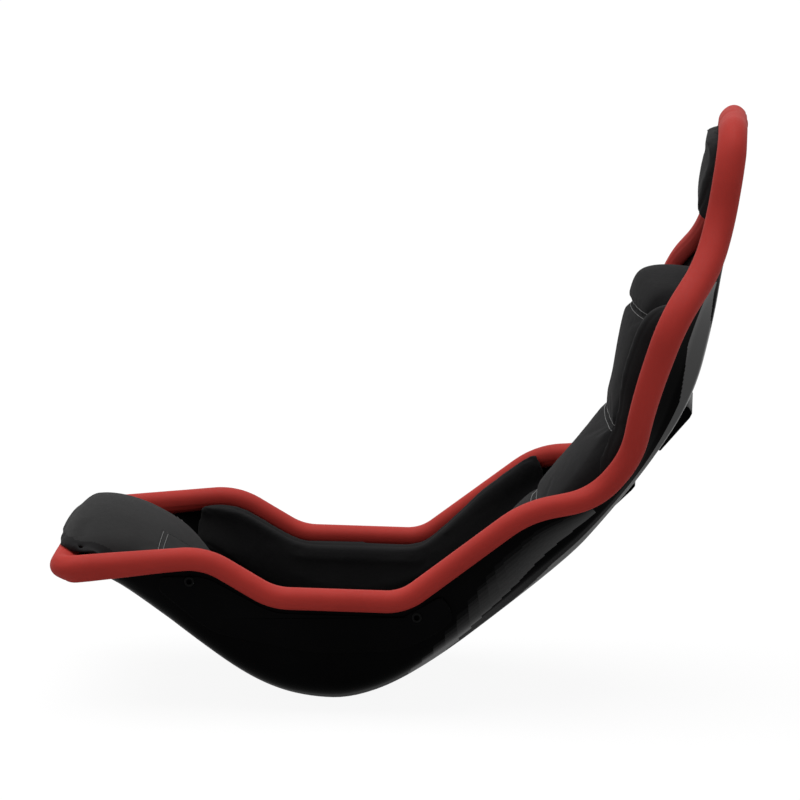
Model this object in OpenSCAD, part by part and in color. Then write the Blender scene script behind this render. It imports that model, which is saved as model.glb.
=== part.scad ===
// Fixed-back racing seat with a reclined bucket shell, padded rim and loose cushions.
// X runs from the knees (-X) to the head (+X), Y across the seat, Z up, all in millimetres.

/* [Rim line, side view] */
// Length of the rim from the front corner to the thigh crest
thigh_len = 204; // [180:1:230]
// Slope of the rim up to the thigh crest, in degrees
thigh_slope = 6; // [2:1:10]
// Length of the rim from the thigh crest down to the pan
drop_len = 110; // [90:1:130]
// Slope of the rim down to the pan
drop_slope = -30.5; // [-36:0.5:-24]
// Length of the level rim beside the hips
pan_len = 182; // [150:1:210]
// Length of the ramp from the pan up to the hip point
ramp_len = 213; // [185:1:235]
// Slope of the ramp
ramp_slope = 37.3; // [33:0.1:41]
// Length of the rim from the hip point to the waist
waist_len = 94; // [80:1:110]
// Slope of the rim at the waist
waist_slope = 8; // [4:1:12]
// Length of the rim from the waist to the lower ribs
rib_len = 78.8; // [68:0.2:95]
// Slope of the rim at the lower ribs
rib_slope = 50; // [45:0.5:55]
// Length of the rim from the lower ribs to the chest
chest_len = 92; // [80:1:110]
// Slope of the rim at the chest
chest_slope = 78.7; // [75:0.1:83]
// Length of the rim from the chest to the shoulder
shoulder_len = 119; // [105:1:135]
// Slope of the rim below the shoulder
shoulder_slope = 72; // [68:1:76]
// Length of the rim from the shoulder to the neck
neck_len = 78; // [68:1:92]
// Slope of the rim from the shoulder to the neck
neck_slope = 54; // [48:1:60]
// Length of the rim beside the neck
nape_len = 61; // [50:1:75]
// Slope of the rim beside the neck
nape_slope = 74; // [70:1:80]
// Length of the rim beside the head
head_len = 84; // [70:1:105]
// Slope of the rim beside the head
head_slope = 81; // [78:1:86]
// Height of the arch above the side rim of the head
arch_rise = 33; // [28:1:42]

/* [Rim line, half widths] */
// Half width at the front corners
front_w = 196; // [184:1:202]
// Half width beside the thighs and hips
pan_w = 200; // [190:1:212]
// Half width at the hip point
hip_w = 193; // [184:1:200]
// Half width at the waist
waist_w = 160; // [150:1:172]
// Half width at the lower ribs
rib_w = 172; // [162:1:182]
// Half width at the chest
chest_w = 212; // [200:1:222]
// Half width at the shoulders
shoulder_w = 243; // [230:1:255]
// Half width at the neck
neck_w = 165; // [152:1:178]
// Half width of the head section
head_w = 124; // [114:1:134]

/* [Shell] */
// Thickness of the moulded wall
wall = 4; // [3:0.5:5]
// Depth of the bowl below the rim beside the hips
pan_depth = 168; // [155:1:180]
// Depth of the bowl below the thigh crest
crest_depth = 137; // [130:1:152]
// Depth behind the hip point
hip_depth = 101; // [93:1:108]
// Depth behind the waist
waist_depth = 34; // [29:1:40]
// Depth behind the lower ribs
rib_depth = 29; // [25:1:36]
// Depth behind the chest
chest_depth = 66; // [56:1:76]
// Depth behind the shoulders
shoulder_depth = 57; // [48:1:66]
// Depth behind the neck and head
head_depth = 18; // [15:1:24]
// Length of each raised land on the back
land_len = 72; // [60:1:85]
// Half width of the lands on the back
land_w = 74; // [60:1:86]
// How far the side lands stand out from the wall
side_land = 2.5; // [2:0.5:4]

/* [Rim padding] */
// Height of the padded rim at the front corners
rim_front_h = 37; // [31:1:40]
// Height of the padded rim beside the hips
rim_h = 31; // [27:1:34]
// Width of the padded rim beside the hips
rim_w = 33; // [29:1:36]
// Height of the padded rim at the shoulders and head
rim_head_h = 37; // [32:1:40]
// Width of the padded rim at the shoulders and head
rim_head_w = 41; // [36:1:44]

/* [Cushions] */
// Gap between the shell and a cushion, filled by the fastening strips
pad_gap = 3; // [2.5:0.5:4.5]
// Thickness of the seat cushion
seat_pad = 34; // [26:1:42]
// Thickness of the side pads
side_pad = 30; // [22:1:34]
// Thickness of the torso bolsters
bolster_pad = 49; // [40:1:54]
// Thickness of the headrest pad
head_pad = 42; // [34:1:48]
// How far the thigh cushion reaches in front of the bar's centre line
thigh_nose = 21; // [19:1:26]
// Depth of the sewn channels in the back cushion
channel_depth = 12; // [6:1:16]

/* [Fixings] */
// Radius of the thread bore in each insert, M8
bolt_r = 4; // [4:0.5:5]
// Radius of an insert's barrel
barrel_r = 7; // [6.5:0.5:8]
// Radius of an insert's flange
flange_r = 11; // [11:0.5:14]
// Distance between the two side bolts along the seat
side_pitch = 320; // [290:5:345]
// Distance between the two bolts of each land on the back
back_pitch = 80; // [60:5:100]

/* [Hidden] */
fit = 0.3;
plate_t = 1.5;
flange_t = 1.5;
plate_half = 17;
side_plate_w = 22;
back_plate_w = 26;
// how far the plates on the back reach past their bolts
back_plate_end = 15;
// how far the plates on the back and on the sides stand off the shell, whose wall isn't quite flat there
plate_sag = 0.8;
side_plate_gap = 2.2;
// clearance between a bolt plate and the pad in front of it
plate_clear = 1;

// ---- small vector and curve helpers ----
function unit(v) = v / max(norm(v), 1e-9);
function mix(a, b, k) = a * (1 - k) + b * k;
function clampi(i, n) = max(0, min(n - 1, i));
// entry i of a list that carries on in a straight line past both ends
function ext(A, i) =
    let(n = len(A))
    i < 0 ? 2 * A[0] - A[1] : i > n - 1 ? 2 * A[n - 1] - A[n - 2] : A[i];
// smooth curve through the middles of a control polygon
function smooth(A, s) =
    let(i = round(s), q = s - i + 0.5)
    (1 - q) * (1 - q) / 2 * ext(A, i - 1) + (0.5 + q * (1 - q)) * ext(A, i) + q * q / 2 * ext(A, i + 1);
// polygon with each corner rounded over the share r of the edges beside it
function corner_point(A, B, C, ra, rc, p) =
    p < -ra ? B + (B - A) * p :
    p > rc ? B + (C - B) * p :
    let(k = (p + ra) / (ra + rc), Q = B - (B - A) * ra, R = B + (C - B) * rc)
    (1 - k) * (1 - k) * Q + 2 * k * (1 - k) * B + k * k * R;

// ---- rim line: stations from the front bar to the top of the head ----
function step(p, len, slope) = [p[0] + len * cos(slope), p[1] + len * sin(slope)];
P4 = [0, 0];
P3 = [-pan_len, 3];
P2 = step(P3, -drop_len, drop_slope);
P1 = step(P2, -thigh_len, thigh_slope);
P5 = step(P4, ramp_len, ramp_slope);
P6 = step(P5, waist_len, waist_slope);
P7 = step(P6, rib_len, rib_slope);
P8 = step(P7, chest_len, chest_slope);
P9 = step(P8, shoulder_len, shoulder_slope);
P10 = step(P9, neck_len, neck_slope);
P11 = step(P10, nape_len, nape_slope);
P12 = step(P11, head_len, head_slope);
P13 = [P12[0] + 2, P12[1] + arch_rise];
front_crown = 8;
bar_w = 30;
arch_w = head_w * 0.72;
arch_end_w = 14;
function rail_at(P, w) = [P[0], w, P[1]];
RAW_RAIL = [rail_at(P1 + [-1, front_crown], bar_w), rail_at(P1, front_w), rail_at(P2, pan_w),
            rail_at(P3, pan_w), rail_at(P4, pan_w), rail_at(P5, hip_w), rail_at(P6, waist_w),
            rail_at(P7, rib_w), rail_at(P8, chest_w), rail_at(P9, shoulder_w), rail_at(P10, neck_w),
            rail_at(P11, head_w + 3), rail_at(P12, head_w - 2), rail_at(P13, arch_w),
            rail_at(P13, arch_end_w)];
// keel: the shell's middle line, given from the rim by a depth and a lean
DEPTH = [1, 17, crest_depth, pan_depth, pan_depth, hip_depth, waist_depth, rib_depth, chest_depth,
         shoulder_depth, head_depth + 3, head_depth, head_depth - 3, head_depth - 6, 1];
LEAN = [90, 60, -102, -87.6, -102, -61, -60.5, -30, -13.7, -22, -20, -11, -6, -10, -20];
RAW_KEEL = [for (i = [0:len(RAW_RAIL) - 1]) let(R = RAW_RAIL[i])
            [R[0] + DEPTH[i] * cos(LEAN[i]), 0, R[2] + DEPTH[i] * sin(LEAN[i])]];
// the origin lies midway along the seat, level with the underside of the shell
origin_shift = [-(P1[0] - thigh_nose + P13[0] + rim_head_w / 2) / 2, 0,
                wall / 2 - min([for (s = [2:0.05:5]) smooth(RAW_KEEL, s)[2]])];
RAIL = [for (p = RAW_RAIL) p + origin_shift];
KEEL = [for (p = RAW_KEEL) p + origin_shift];
front_corner = [RAIL[1][0], RAIL[1][2]];
crest = [RAIL[2][0], RAIL[2][2]];
pan_front = [RAIL[3][0], RAIL[3][2]];
pan_rear = [RAIL[4][0], RAIL[4][2]];
// how far each corner of the rim line is rounded, along the edges beside it
CUT = [10, 30, 32, 24, 26, 36, 38, 38, 50, 46, 40, 32, 40, 30, 10];
LAST = len(RAIL) - 1;
function cut_share(i, k) = i <= 0 || i >= LAST ? 0.01 : min(0.5, CUT[i] / norm(ext(RAIL, i + k) - RAIL[i]));
function rail(s) =
    let(i = clampi(round(s), LAST + 1))
    corner_point(ext(RAIL, i - 1), RAIL[i], ext(RAIL, i + 1), cut_share(i, -1), cut_share(i, 1), s - i);

// ---- cross-section: wall corner, outer crease and panel edge, as shares of width and depth ----
// each row is [wall width, wall depth, crease width, crease depth, panel width, panel depth]
BOWL = [1.0, 0.42, 0.92, 0.80, 0.62, 0.97];
BACK = [0.72, 0.24, 0.57, 0.62, 0.46, 1.0];
HEAD = [0.90, 0.35, 0.75, 0.75, 0.50, 1.0];
CREST = BOWL + [0, 0.03, 0, 0.06, 0, 0.01];
SECTION = [[0.8, 0.2, 0.55, 0.5, 0.3, 0.9], [0.97, 0.3, 0.8, 0.62, 0.52, 0.92], CREST, BOWL, BOWL,
           [0.99, 0.38, 0.87, 0.76, 0.66, 0.98], [0.96, 0.35, 0.88, 0.70, 0.74, 1.0],
           [0.92, 0.26, 0.80, 0.62, 0.70, 1.0], BACK + [0.02, -0.02, 0.03, -0.02, 0.04, 0], BACK,
           [0.85, 0.30, 0.66, 0.70, 0.50, 1.0], HEAD, HEAD, HEAD, HEAD];
// how far each crease is rounded, as a share of the edges beside it
ROUND = [[.45, .45, .45], [.45, .45, .45], [.45, .45, .45], [.45, .45, .45], [.45, .40, .40],
         [.40, .16, .16], [.30, .12, .12], [.30, .12, .12], [.30, .12, .12], [.30, .14, .14],
         [.35, .30, .30], [.40, .40, .40], [.40, .40, .40], [.40, .40, .40], [.40, .40, .40]];
function half_section(M, r, t) =
    let(A = [[1, 0], [M[0], M[1]], [M[2], M[3]], [M[4], M[5]], [0, 1]], i = clampi(round(t), 5),
        k = i > 0 && i < 4 ? r[i - 1] : 0.01)
    corner_point(ext(A, i - 1), A[i], ext(A, i + 1), k, k, t - i);
// a point of the shell's middle surface; v runs from -4 at the left rim over 0 to 4 at the right rim
function surf(s, v) =
    let(R = rail(s), K = smooth(KEEL, s), c = half_section(smooth(SECTION, s), smooth(ROUND, s), 4 - abs(v)))
    [mix(R[0], K[0], c[1]), (v < 0 ? -1 : 1) * R[1] * c[0], mix(R[2], K[2], c[1])];
// direction into the seat, square to the middle surface
function inward(s, v) =
    let(e = 0.04, s0 = max(0, s - e), s1 = min(LAST, s + e), v0 = max(-4, v - e), v1 = min(4, v + e))
    unit(cross(surf(s1, v) - surf(s0, v), surf(s, v1) - surf(s, v0)));
function lifted(s, v, h) = surf(s, v) + inward(s, v) * h;

// ---- sampling along and across the shell ----
raw_s = [0, for (i = [1:LAST - 1]) let(a = cut_share(i, -1), b = cut_share(i, 1))
        each (a < 0.4 ? [i - 0.5, i - a, i - a + (a + b) / 3, i - a + (a + b) * 2 / 3, i + b]
                      : [i - a, i - a + (a + b) / 3, i - a + (a + b) * 2 / 3, i + b]), LAST];
few_s = [for (k = [0:len(raw_s) - 1]) if (k == 0 || raw_s[k] - raw_s[k - 1] > 0.06) raw_s[k]];
// the floor of the pan and the ramp behind it get stations halfway
S = [for (k = [0:len(few_s) - 1]) let(a = few_s[k], b = ext(few_s, k + 1))
     each a > 3 && a < 5 && b - a > 0.3 ? [a, (a + b) / 2] : [a]];
half_v = [0, 0.82, 1, 1.18, 1.5, 1.82, 2, 2.18, 2.62, 3, 3.38, 4];
V = [for (k = [len(half_v) - 1:-1:1]) -half_v[k], each half_v];

// ---- closed solids from grids ----
function quad(a, b, c, d) = [[a, b, c], [a, c, d]];
// cell i, j of an n by m grid, split along the diagonal that starts at the grid's nearest corner
function cell(n, m, i, j, a, b, c, d) =
    (2 * i < n - 1) == (2 * j < m - 1) ? quad(a, b, c, d) : quad(b, c, d, a);
// a skin of the given faces between two grids of n by m points, outer grid first
function skin_faces(n, m) = let(o = n * m) [
    for (i = [0:n - 2], j = [0:m - 2]) let(a = i * m + j) each quad(a, a + m, a + m + 1, a + 1),
    for (i = [0:n - 2], j = [0:m - 2]) let(a = o + i * m + j) each quad(a, a + 1, a + m + 1, a + m),
    for (i = [0:n - 2]) let(a = i * m) each quad(a, o + a, o + a + m, a + m),
    for (i = [0:n - 2]) let(a = i * m + m - 1) each quad(a, a + m, o + a + m, o + a),
    for (j = [0:m - 2]) each quad(j, j + 1, o + j + 1, o + j),
    for (j = [0:m - 2]) let(a = (n - 1) * m + j) each quad(a, o + a, o + a + 1, a + 1)];
module grid_skin(sv, lo, hi) {
    n = len(sv);
    m = len(sv[0]);
    pts = [for (h = [lo, hi], i = [0:n - 1], j = [0:m - 1]) lifted(sv[i][j][0], sv[i][j][1], h)];
    polyhedron(points = pts, faces = skin_faces(n, m), convexity = 8);
}
// a pillow: base grid and crown grid that share their outer edge
function pillow_faces(n, m) = let(o = n * m, top = function(i, j)
        i == 0 || j == 0 || i == n - 1 || j == m - 1 ? i * m + j : o + (i - 1) * (m - 2) + j - 1) [
    for (i = [0:n - 2], j = [0:m - 2]) let(a = i * m + j) each cell(n, m, i, j, a, a + m, a + m + 1, a + 1),
    for (i = [0:n - 2], j = [0:m - 2])
        each cell(n, m, i, j, top(i, j), top(i, j + 1), top(i + 1, j + 1), top(i + 1, j))];
module pillow(base, crown) {
    n = len(base);
    m = len(base[0]);
    pts = [for (i = [0:n - 1], j = [0:m - 1]) base[i][j],
           for (i = [1:n - 2], j = [1:m - 2]) crown[i][j]];
    polyhedron(points = pts, faces = pillow_faces(n, m), convexity = 6);
}
// even steps that crowd towards both ends, from 0 to 1
function eased(n) = [for (k = [0:n]) (1 - cos(180 * k / n)) / 2];
// full height in the middle, falling steeply to nothing at the ends of 0 to 1
function edge_roll(a, p) = pow(max(0, 1 - pow(abs(2 * a - 1), p)), 1 / 2.4);
function dome(a, k) = 1 - k * pow(2 * a - 1, 2);

// pad on the shell between stations s0 and s1; edge(a) gives how far across it reaches, as [v0, v1],
// height(a, b) its thickness; a flat pad rises along the keel's own direction
pad_lift = wall / 2 + pad_gap;
// the back cushion stands clear of the bolt plates behind it, and so do the side pads, where the
// plates stand off further the more the wall tapers along them
plated_lift = wall / 2 + plate_t + flange_t + plate_sag + 3 * plate_clear;
side_taper = max(abs(front_w - pan_w) / thigh_len, abs(pan_w - hip_w) / (ramp_len * cos(ramp_slope)));
side_lift = wall / 2 + side_plate_gap + plate_half * side_taper + plate_t + flange_t + plate_clear;
module shell_pad(s0, s1, n, m, edge, height, lift = pad_lift, roll = 7, flat = false) {
    A = eased(n);
    B = eased(m);
    function off(a) = is_function(lift) ? lift(a) : lift;
    base = [for (a = A) [for (b = B) let(s = mix(s0, s1, a), e = edge(a)) lifted(s, mix(e[0], e[1], b), off(a))]];
    crown = [for (a = A) [for (b = B) let(s = mix(s0, s1, a), e = edge(a), v = mix(e[0], e[1], b))
        lifted(s, v, off(a)) + inward(s, flat ? 0 : v) * height(a, b) * edge_roll(a, roll) * edge_roll(b, roll)]];
    pillow(base, crown);
}
// thin patch in the gap between the shell and a pad
module strip(s0, s1, v0, v1, lift = pad_lift) grid_skin(
    [for (s = S) if (s > s0 && s < s1) [for (v = [v0, v1]) [s, v]]], wall / 2 + 2 * fit, lift - 3 * fit);

// ---- the shell ----
// place at station s of the back, Z pointing out of the shell and X up along it
module at_back(s) {
    out = -inward(s, 0);
    translate(surf(s, 0)) multmatrix([[-out[2], 0, out[0], 0], [0, -1, 0, 0], [out[0], 0, out[2], 0]]) children();
}
// wedge on the back panel whose upper end stands proud and whose lower end fades away
module back_land(s, rise) at_back(s) rotate([90, 0, 0])
    linear_extrude(height = 2 * land_w, center = true)
        polygon([[1, 0], [2, wall / 2 + rise * 0.45], [-3, wall / 2 + rise], [-land_flat, wall / 2 + rise],
                 [-land_len, wall / 2 + land_step], [-land_len, 0]]);
// station of each land's upper end and how far it stands proud
LANDS = [[7.78, 15], [6.52, 9], [5.0, 5]];
land_bolt_back = 24;
land_flat = 11;
land_step = 0.5;
module at_land(k) at_back(LANDS[k][0]) translate([-land_bolt_back, 0, 0]) children();

// the side bolts lie on one line that falls towards the back
side_bolt_front = crest + [-21, -34];
side_bolt_slope = -8.2;
side_bolt_rear = step(side_bolt_front, side_pitch, side_bolt_slope);
side_face = pan_w + wall / 2 + side_land;
// half width of the wall's inner face at x, which narrows in front of the crest and behind the pan
function inner_w(x) = mix(mix(pan_w, front_w, max(0, crest[0] - x) / (crest[0] - front_corner[0])),
    hip_w, max(0, x - pan_rear[0] + CUT[4]) / (ramp_len * cos(ramp_slope))) - wall / 2;
module at_side_bolt(p, side) translate([p[0], 0, p[1]]) rotate([side < 0 ? 90 : -90, 0, 0]) children();
land_drop = rim_h / 2 + 5;
crest_drop = 5;
// corners of the side land from its front bolt, from the front of the pan and from its rear bolt
LAND_FRONT = [[-40, 6], [-44, -12], [30, -72]];
LAND_FLOOR = [60, -78];
LAND_REAR = [[-22, -48], [34, -18], [50, 0], [44, 20], [32, 30]];
module side_land_plate(side) {
    front = side_bolt_front;
    rear = side_bolt_rear;
    outline = [for (q = LAND_FRONT) front + q, pan_front + LAND_FLOOR, for (q = LAND_REAR) rear + q,
               for (q = [pan_rear, pan_front, crest + [0, -crest_drop]]) q + [0, -land_drop]];
    translate([0, side * (pan_w + side_face) / 2, 0]) rotate([90, 0, 0])
        linear_extrude(height = side_face - pan_w, center = true) polygon(outline);
}
module seat_shell() color([0.08, 0.08, 0.085]) difference() {
    union() {
        grid_skin([for (s = S) [for (v = V) [s, v]]], -wall / 2, wall / 2);
        for (land = LANDS) back_land(land[0], land[1]);
        for (side = [-1, 1]) side_land_plate(side);
    }
    for (side = [-1, 1], p = [side_bolt_front, side_bolt_rear]) at_side_bolt(p, side)
        translate([0, 0, pan_w - 20]) cylinder(r = barrel_r + fit, h = 40, $fn = 32);
    for (k = [0:2], y = [-0.5, 0.5]) at_land(k)
        translate([0, y * back_pitch, -20]) cylinder(r = barrel_r + fit, h = 60, $fn = 32);
}

// ---- padded rim: a closed loop along the shell's edge, slotted over its lip ----
loop_v = [for (k = [0:2:len(V) - 1]) V[k]];
LOOP = [for (s = S) [s, -4], for (k = [1:len(loop_v) - 2]) [LAST, loop_v[k]],
        for (k = [len(S) - 1:-1:0]) [S[k], 4], for (k = [len(loop_v) - 2:-1:1]) [0, loop_v[k]]];
// half height and half width of the rim along its stations
RIM_SIZE = [for (i = [0:LAST]) let(k = max(0, min(1, (i - 7.3) / 1.7)))
            [(i == 1 ? rim_front_h : mix(rim_h, rim_head_h, k)) / 2, mix(rim_w, rim_head_w, k) / 2]];
ring_n = 11;
slot_play = 0.6;
// directions in which the shell leaves the rim at the front bar and at the top of the head
front_way = [cos(-22), 0, sin(-22)];
function arch_way(q) = [cos(-43), -sign(q[1]) * 0.9 * max(0, min(1, 13 - q[0])), sin(-43)];
// how far a station belongs to the front bar or to the arch, where the slot is wider
function end_share(s) = max(0, min(1, (1.8 - s) / 0.8), min(1, (s - 12.1) / 0.5));
// point of the shell's cross-section at station s, the distance d in from its edge
ARM = [4, 3.38, 3, 2.62, 2.18];
function arm(s, side, d, j = 0) =
    let(a = surf(s, side * ARM[j]), b = surf(s, side * ARM[j + 1]), L = norm(b - a))
    d <= L || j == len(ARM) - 2 ? a + (b - a) * d / L : arm(s, side, d - L, j + 1);
function reach(q, p, d) =
    let(k = abs(q[1]) == 4 ? end_share(q[0]) : 1, way = p + d * (q[0] < LAST / 2 ? front_way : arch_way(q)))
    k == 1 ? way : mix(arm(q[0], sign(q[1]), d), way, k);
function ring(k) =
    let(n = len(LOOP), q = LOOP[k], p = surf(q[0], q[1]),
        before = LOOP[(k + n - 1) % n], after = LOOP[(k + 1) % n],
        T = unit(unit(surf(after[0], after[1]) - p) + unit(p - surf(before[0], before[1]))),
        size = smooth(RIM_SIZE, q[0]), start = reach(q, p, 4) - p, D = unit(start - T * (start * T)),
        N = cross(T, D), far = abs(q[1]) == 4 ? end_share(q[0]) : 1,
        sw = wall / 2 + fit + slot_play + 7 * far + 5 * sin(180 * far), slot_in = 1.5 + 3 * far,
        half = reach(q, p, size[0] / 2) - p, full = reach(q, p, size[0]) - p,
        lean = atan2(full * N / size[1], full * D / size[0]), phi = asin((sw + slot_play) / size[1]),
        mid = [half * D, half * N])
    [for (c = concat([[-slot_in, -sw], [-slot_in, sw], mid + [0, sw + 0.2]],
        [for (a = [0:ring_n]) let(t = lean + phi + a * (360 - 2 * phi) / ring_n) [size[0] * cos(t), size[1] * sin(t)]],
        [mid - [0, sw + 0.2]])) p + D * c[0] + N * c[1]];
module rim_trim() color([0.62, 0.15, 0.13]) {
    n = len(LOOP);
    m = ring_n + 5;
    polyhedron(points = [for (k = [0:n - 1]) each ring(k)],
        faces = [for (k = [0:n - 1], j = [0:m - 1]) let(a = k * m, b = (k + 1) % n * m, c = (j + 1) % m)
                 each quad(a + j, b + j, b + c, a + c)], convexity = 8);
}

// ---- cushions ----
fabric = [0.13, 0.13, 0.14];
// the thigh cushion wraps over the front bar and falls into the pan behind it;
// its top line is given from the front corner of the rim line
THIGH_TOP = [[-thigh_nose, 13], [-16, 24], [-3, 47], [20, 62], [58, 56], [90, 45], [117, 31], [142, 14],
             [163, -12], [190, -52], [218, -98], [236, -128]];
// angles at which it passes round the bar, then stations at which it follows the shell
WRAP = [150, 120, 90, 60, 30];
thigh_s = [1.3, 2.5];
thigh_rows = 14;
thigh_corner = 60;
bar_r = rim_w / 2 + 2.5;
thigh_w = front_w - rim_w / 2 - 10;
function thigh_v(s) = mix(1.95, 1.33, max(0, min(1, (s - 1.35) / 0.3)));
function bar_z(y) = front_corner[1] + front_crown * min(1, (front_w - abs(y)) / (front_w - bar_w));
function set_back(y) = let(d = max(0, abs(y) - thigh_w + thigh_corner))
    thigh_corner - sqrt(max(0, pow(thigh_corner, 2) - d * d));
function over_bar(x, y, z) = let(d = x - front_corner[0])
    abs(d) < bar_r ? max(z, bar_z(y) + sqrt(bar_r * bar_r - d * d)) : z;
function thigh_base(i, b) =
    let(k = len(WRAP), y = thigh_w * (2 * b - 1), x = front_corner[0] + bar_r * cos(WRAP[min(i, k - 1)]) + set_back(y))
    i < k ? [x, y, over_bar(x, y, bar_z(y) + bar_r * sin(WRAP[i]))]
          : let(s = mix(thigh_s[0], thigh_s[1], (i - k) / (thigh_rows - k))) lifted(s, thigh_v(s) * (2 * b - 1), pad_lift);
module thigh_cushion() color([0.2, 0.2, 0.21]) {
    last = len(THIGH_TOP) - 1;
    B = eased(12);
    base = [for (i = [0:thigh_rows]) [for (b = B) thigh_base(i, b)]];
    crown = [for (i = [0:thigh_rows]) [for (b = B)
        let(p = thigh_base(i, b), t = smooth(THIGH_TOP, last * i / thigh_rows), y = p[1],
            top = [front_corner[0] + t[0] + set_back(y) * max(0, 1 - i / 5), y,
                   max(p[2] + 6, front_corner[1] + t[1] - 25 * pow(y / 150, 2))])
        mix(p, top, edge_roll(b, 6))]];
    pillow(base, crown);
}
module seat_cushion() color(fabric)
    shell_pad(2.55, 4.56, 18, 12, function(a) [-1.7, 1.7], function(a, b) seat_pad * dome(b, 0.15), flat = true);
// edges of a pad beside the crease, whose outer edge lies at v
function beside(side, v) = side < 0 ? [-v, -2.02] : [2.02, v];
// a side pad lies on the wall up to v = pad_leave(s), then leaves it and stands up inside the rim
side_s = [1.75, 5.12];
function pad_leave(s) = mix(3.55, 3.15, max(0, min(1, (s - 3.8) / 0.8)));
// how far the pad's upper edge stands above the rim's centre line, level at first and higher on the ramp
function pad_top(s) = mix(-3, 13, max(0, min(1, (s - 4) / 0.5)));
// places inside the rim: distance in from its centre line and height from it, from below the rim up
function inside_rim(s) = [[rim_w / 2 - 2, -rim_h / 2 - 3], [rim_w / 2 + 2, -rim_h / 4 - 1],
                          [rim_w / 2 + 3, pad_top(s) - 3], [rim_w / 2 + 3, pad_top(s)]];
module side_pad_solid(side) color(fabric) {
    A = eased(18);
    B = [0, 0.04, 0.15, 0.3, 0.42, 0.52, 0.68, 0.82, 0.95, 1];
    last = len(B) - 1;
    base = [for (a = A) let(s = mix(side_s[0], side_s[1], a), R = surf(s, 4 * side), w = pad_leave(s),
                            up = unit(R - surf(s, 3.38 * side)), in = [0, -side, 0])
        [for (j = [0:last]) let(q = inside_rim(s)[max(0, j - last + 3)])
            j < last - 3 ? lifted(s, side * mix(2.02, w, j / (last - 4)), side_lift) : R + in * q[0] + up * q[1]]];
    crown = [for (i = [0:len(A) - 1]) let(s = mix(side_s[0], side_s[1], A[i]))
        [for (j = [0:last]) let(v = mix(2.02, pad_leave(s), min(1, j / (last - 4))), thin = max(0, j - last + 4) * 2)
            base[i][j] + inward(s, side * v) * (side_pad - thin) * edge_roll(A[i], 7) * edge_roll(B[j], 7)]];
    pillow(side < 0 ? [for (r = base) reversed(r)] : base, side < 0 ? [for (r = crown) reversed(r)] : crown);
}
function reversed(r) = [for (i = [len(r) - 1:-1:0]) r[i]];
module side_pad_left() side_pad_solid(-1);
module side_pad_right() side_pad_solid(1);

// foam height of the back cushion at even steps along it, in front of the shell's gap
BACK_FOAM = [61, 80, 78, 74, 83, 105, 114, 115, 112];
CHANNELS = [5.24, 7.06, 8.88];
back_s = [4.57, 9.7];
module back_cushion() color(fabric)
    shell_pad(back_s[0], back_s[1], 30, 12, function(a) let(e = mix(1.2, 1.5, min(1, 2.5 * a))) [-e, e],
        function(a, b)
        let(s = mix(back_s[0], back_s[1], a), foam = smooth(BACK_FOAM, (len(BACK_FOAM) - 1) * a),
            sewn = max([for (c = CHANNELS) exp(-pow((s - c) / 0.07, 2))]))
        (foam - channel_depth * sewn) * dome(b, mix(0.3, 0.45, a)), plated_lift, roll = 10, flat = true);
module torso_bolster(side) color(fabric)
    shell_pad(6.3, 9.3, 16, 8, function(a) beside(side, mix(2.5, 3.5, min(1, 1.7 * a))),
              function(a, b) bolster_pad * mix(0.96, 1.06, a), flat = true);
module torso_bolster_left() torso_bolster(-1);
module torso_bolster_right() torso_bolster(1);
// the top of the headrest stands in front of the arch of the rim
HEAD_FOAM = [1.08, 1.16, 1.13, 0.86, 0.45];
function head_lift(a) = pad_lift + rim_head_w * 0.58 * pow(max(0, min(1, (a - 0.6) / 0.24)), 2);
module headrest_pad() color(fabric)
    shell_pad(10.8, 12.75, 16, 10, function(a) [-2.5, 2.5],
              function(a, b) head_pad * smooth(HEAD_FOAM, 4 * a) * dome(b, 0.1), function(a) head_lift(a), flat = true);

// hook-and-loop strips that hold each cushion to the shell
strap = [0.09, 0.09, 0.09];
module thigh_hook_strips() color(strap) for (v = [-0.7, 0.4]) strip(1.5, 2.3, v, v + 0.3);
module seat_hook_strips() color(strap) for (v = [-0.8, 0.5]) strip(3.1, 3.95, v, v + 0.3, pad_lift - 0.7);
module side_hook_strips() color(strap) for (side = [-1, 1], s = [2.25, 4.3])
    strip(s, s + 0.5, side < 0 ? -3.1 : 2.9, side < 0 ? -2.9 : 3.1, side_lift);
module back_hook_strips() color(strap) for (v = [-0.85, 0.55], s = [5.2, 6.4, 7.9])
    strip(s, s + 0.55, v, v + 0.3, plated_lift);
module bolster_hook_strips() color(strap) for (side = [-1, 1])
    strip(7.2, 8.8, side < 0 ? -3.1 : 2.8, side < 0 ? -2.8 : 3.1);
module headrest_hook_strips() color(strap) for (v = [-1.3, 0.9]) strip(11.1, 12.2, v, v + 0.4);

// ---- fixings ----
metal = [0.62, 0.63, 0.65];
zinc = [0.5, 0.51, 0.53];
// threaded insert from z0 to z1, its flange at the z0 end and its mouth at z1
module insert(z0, z1) difference() {
    union() {
        translate([0, 0, z0]) cylinder(r = barrel_r, h = z1 - z0, $fn = 32);
        translate([0, 0, z0]) cylinder(r = flange_r, h = flange_t, $fn = 32);
    }
    translate([0, 0, z0 - 1]) cylinder(r = bolt_r, h = z1 - z0 + 2, $fn = 32);
}
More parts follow.
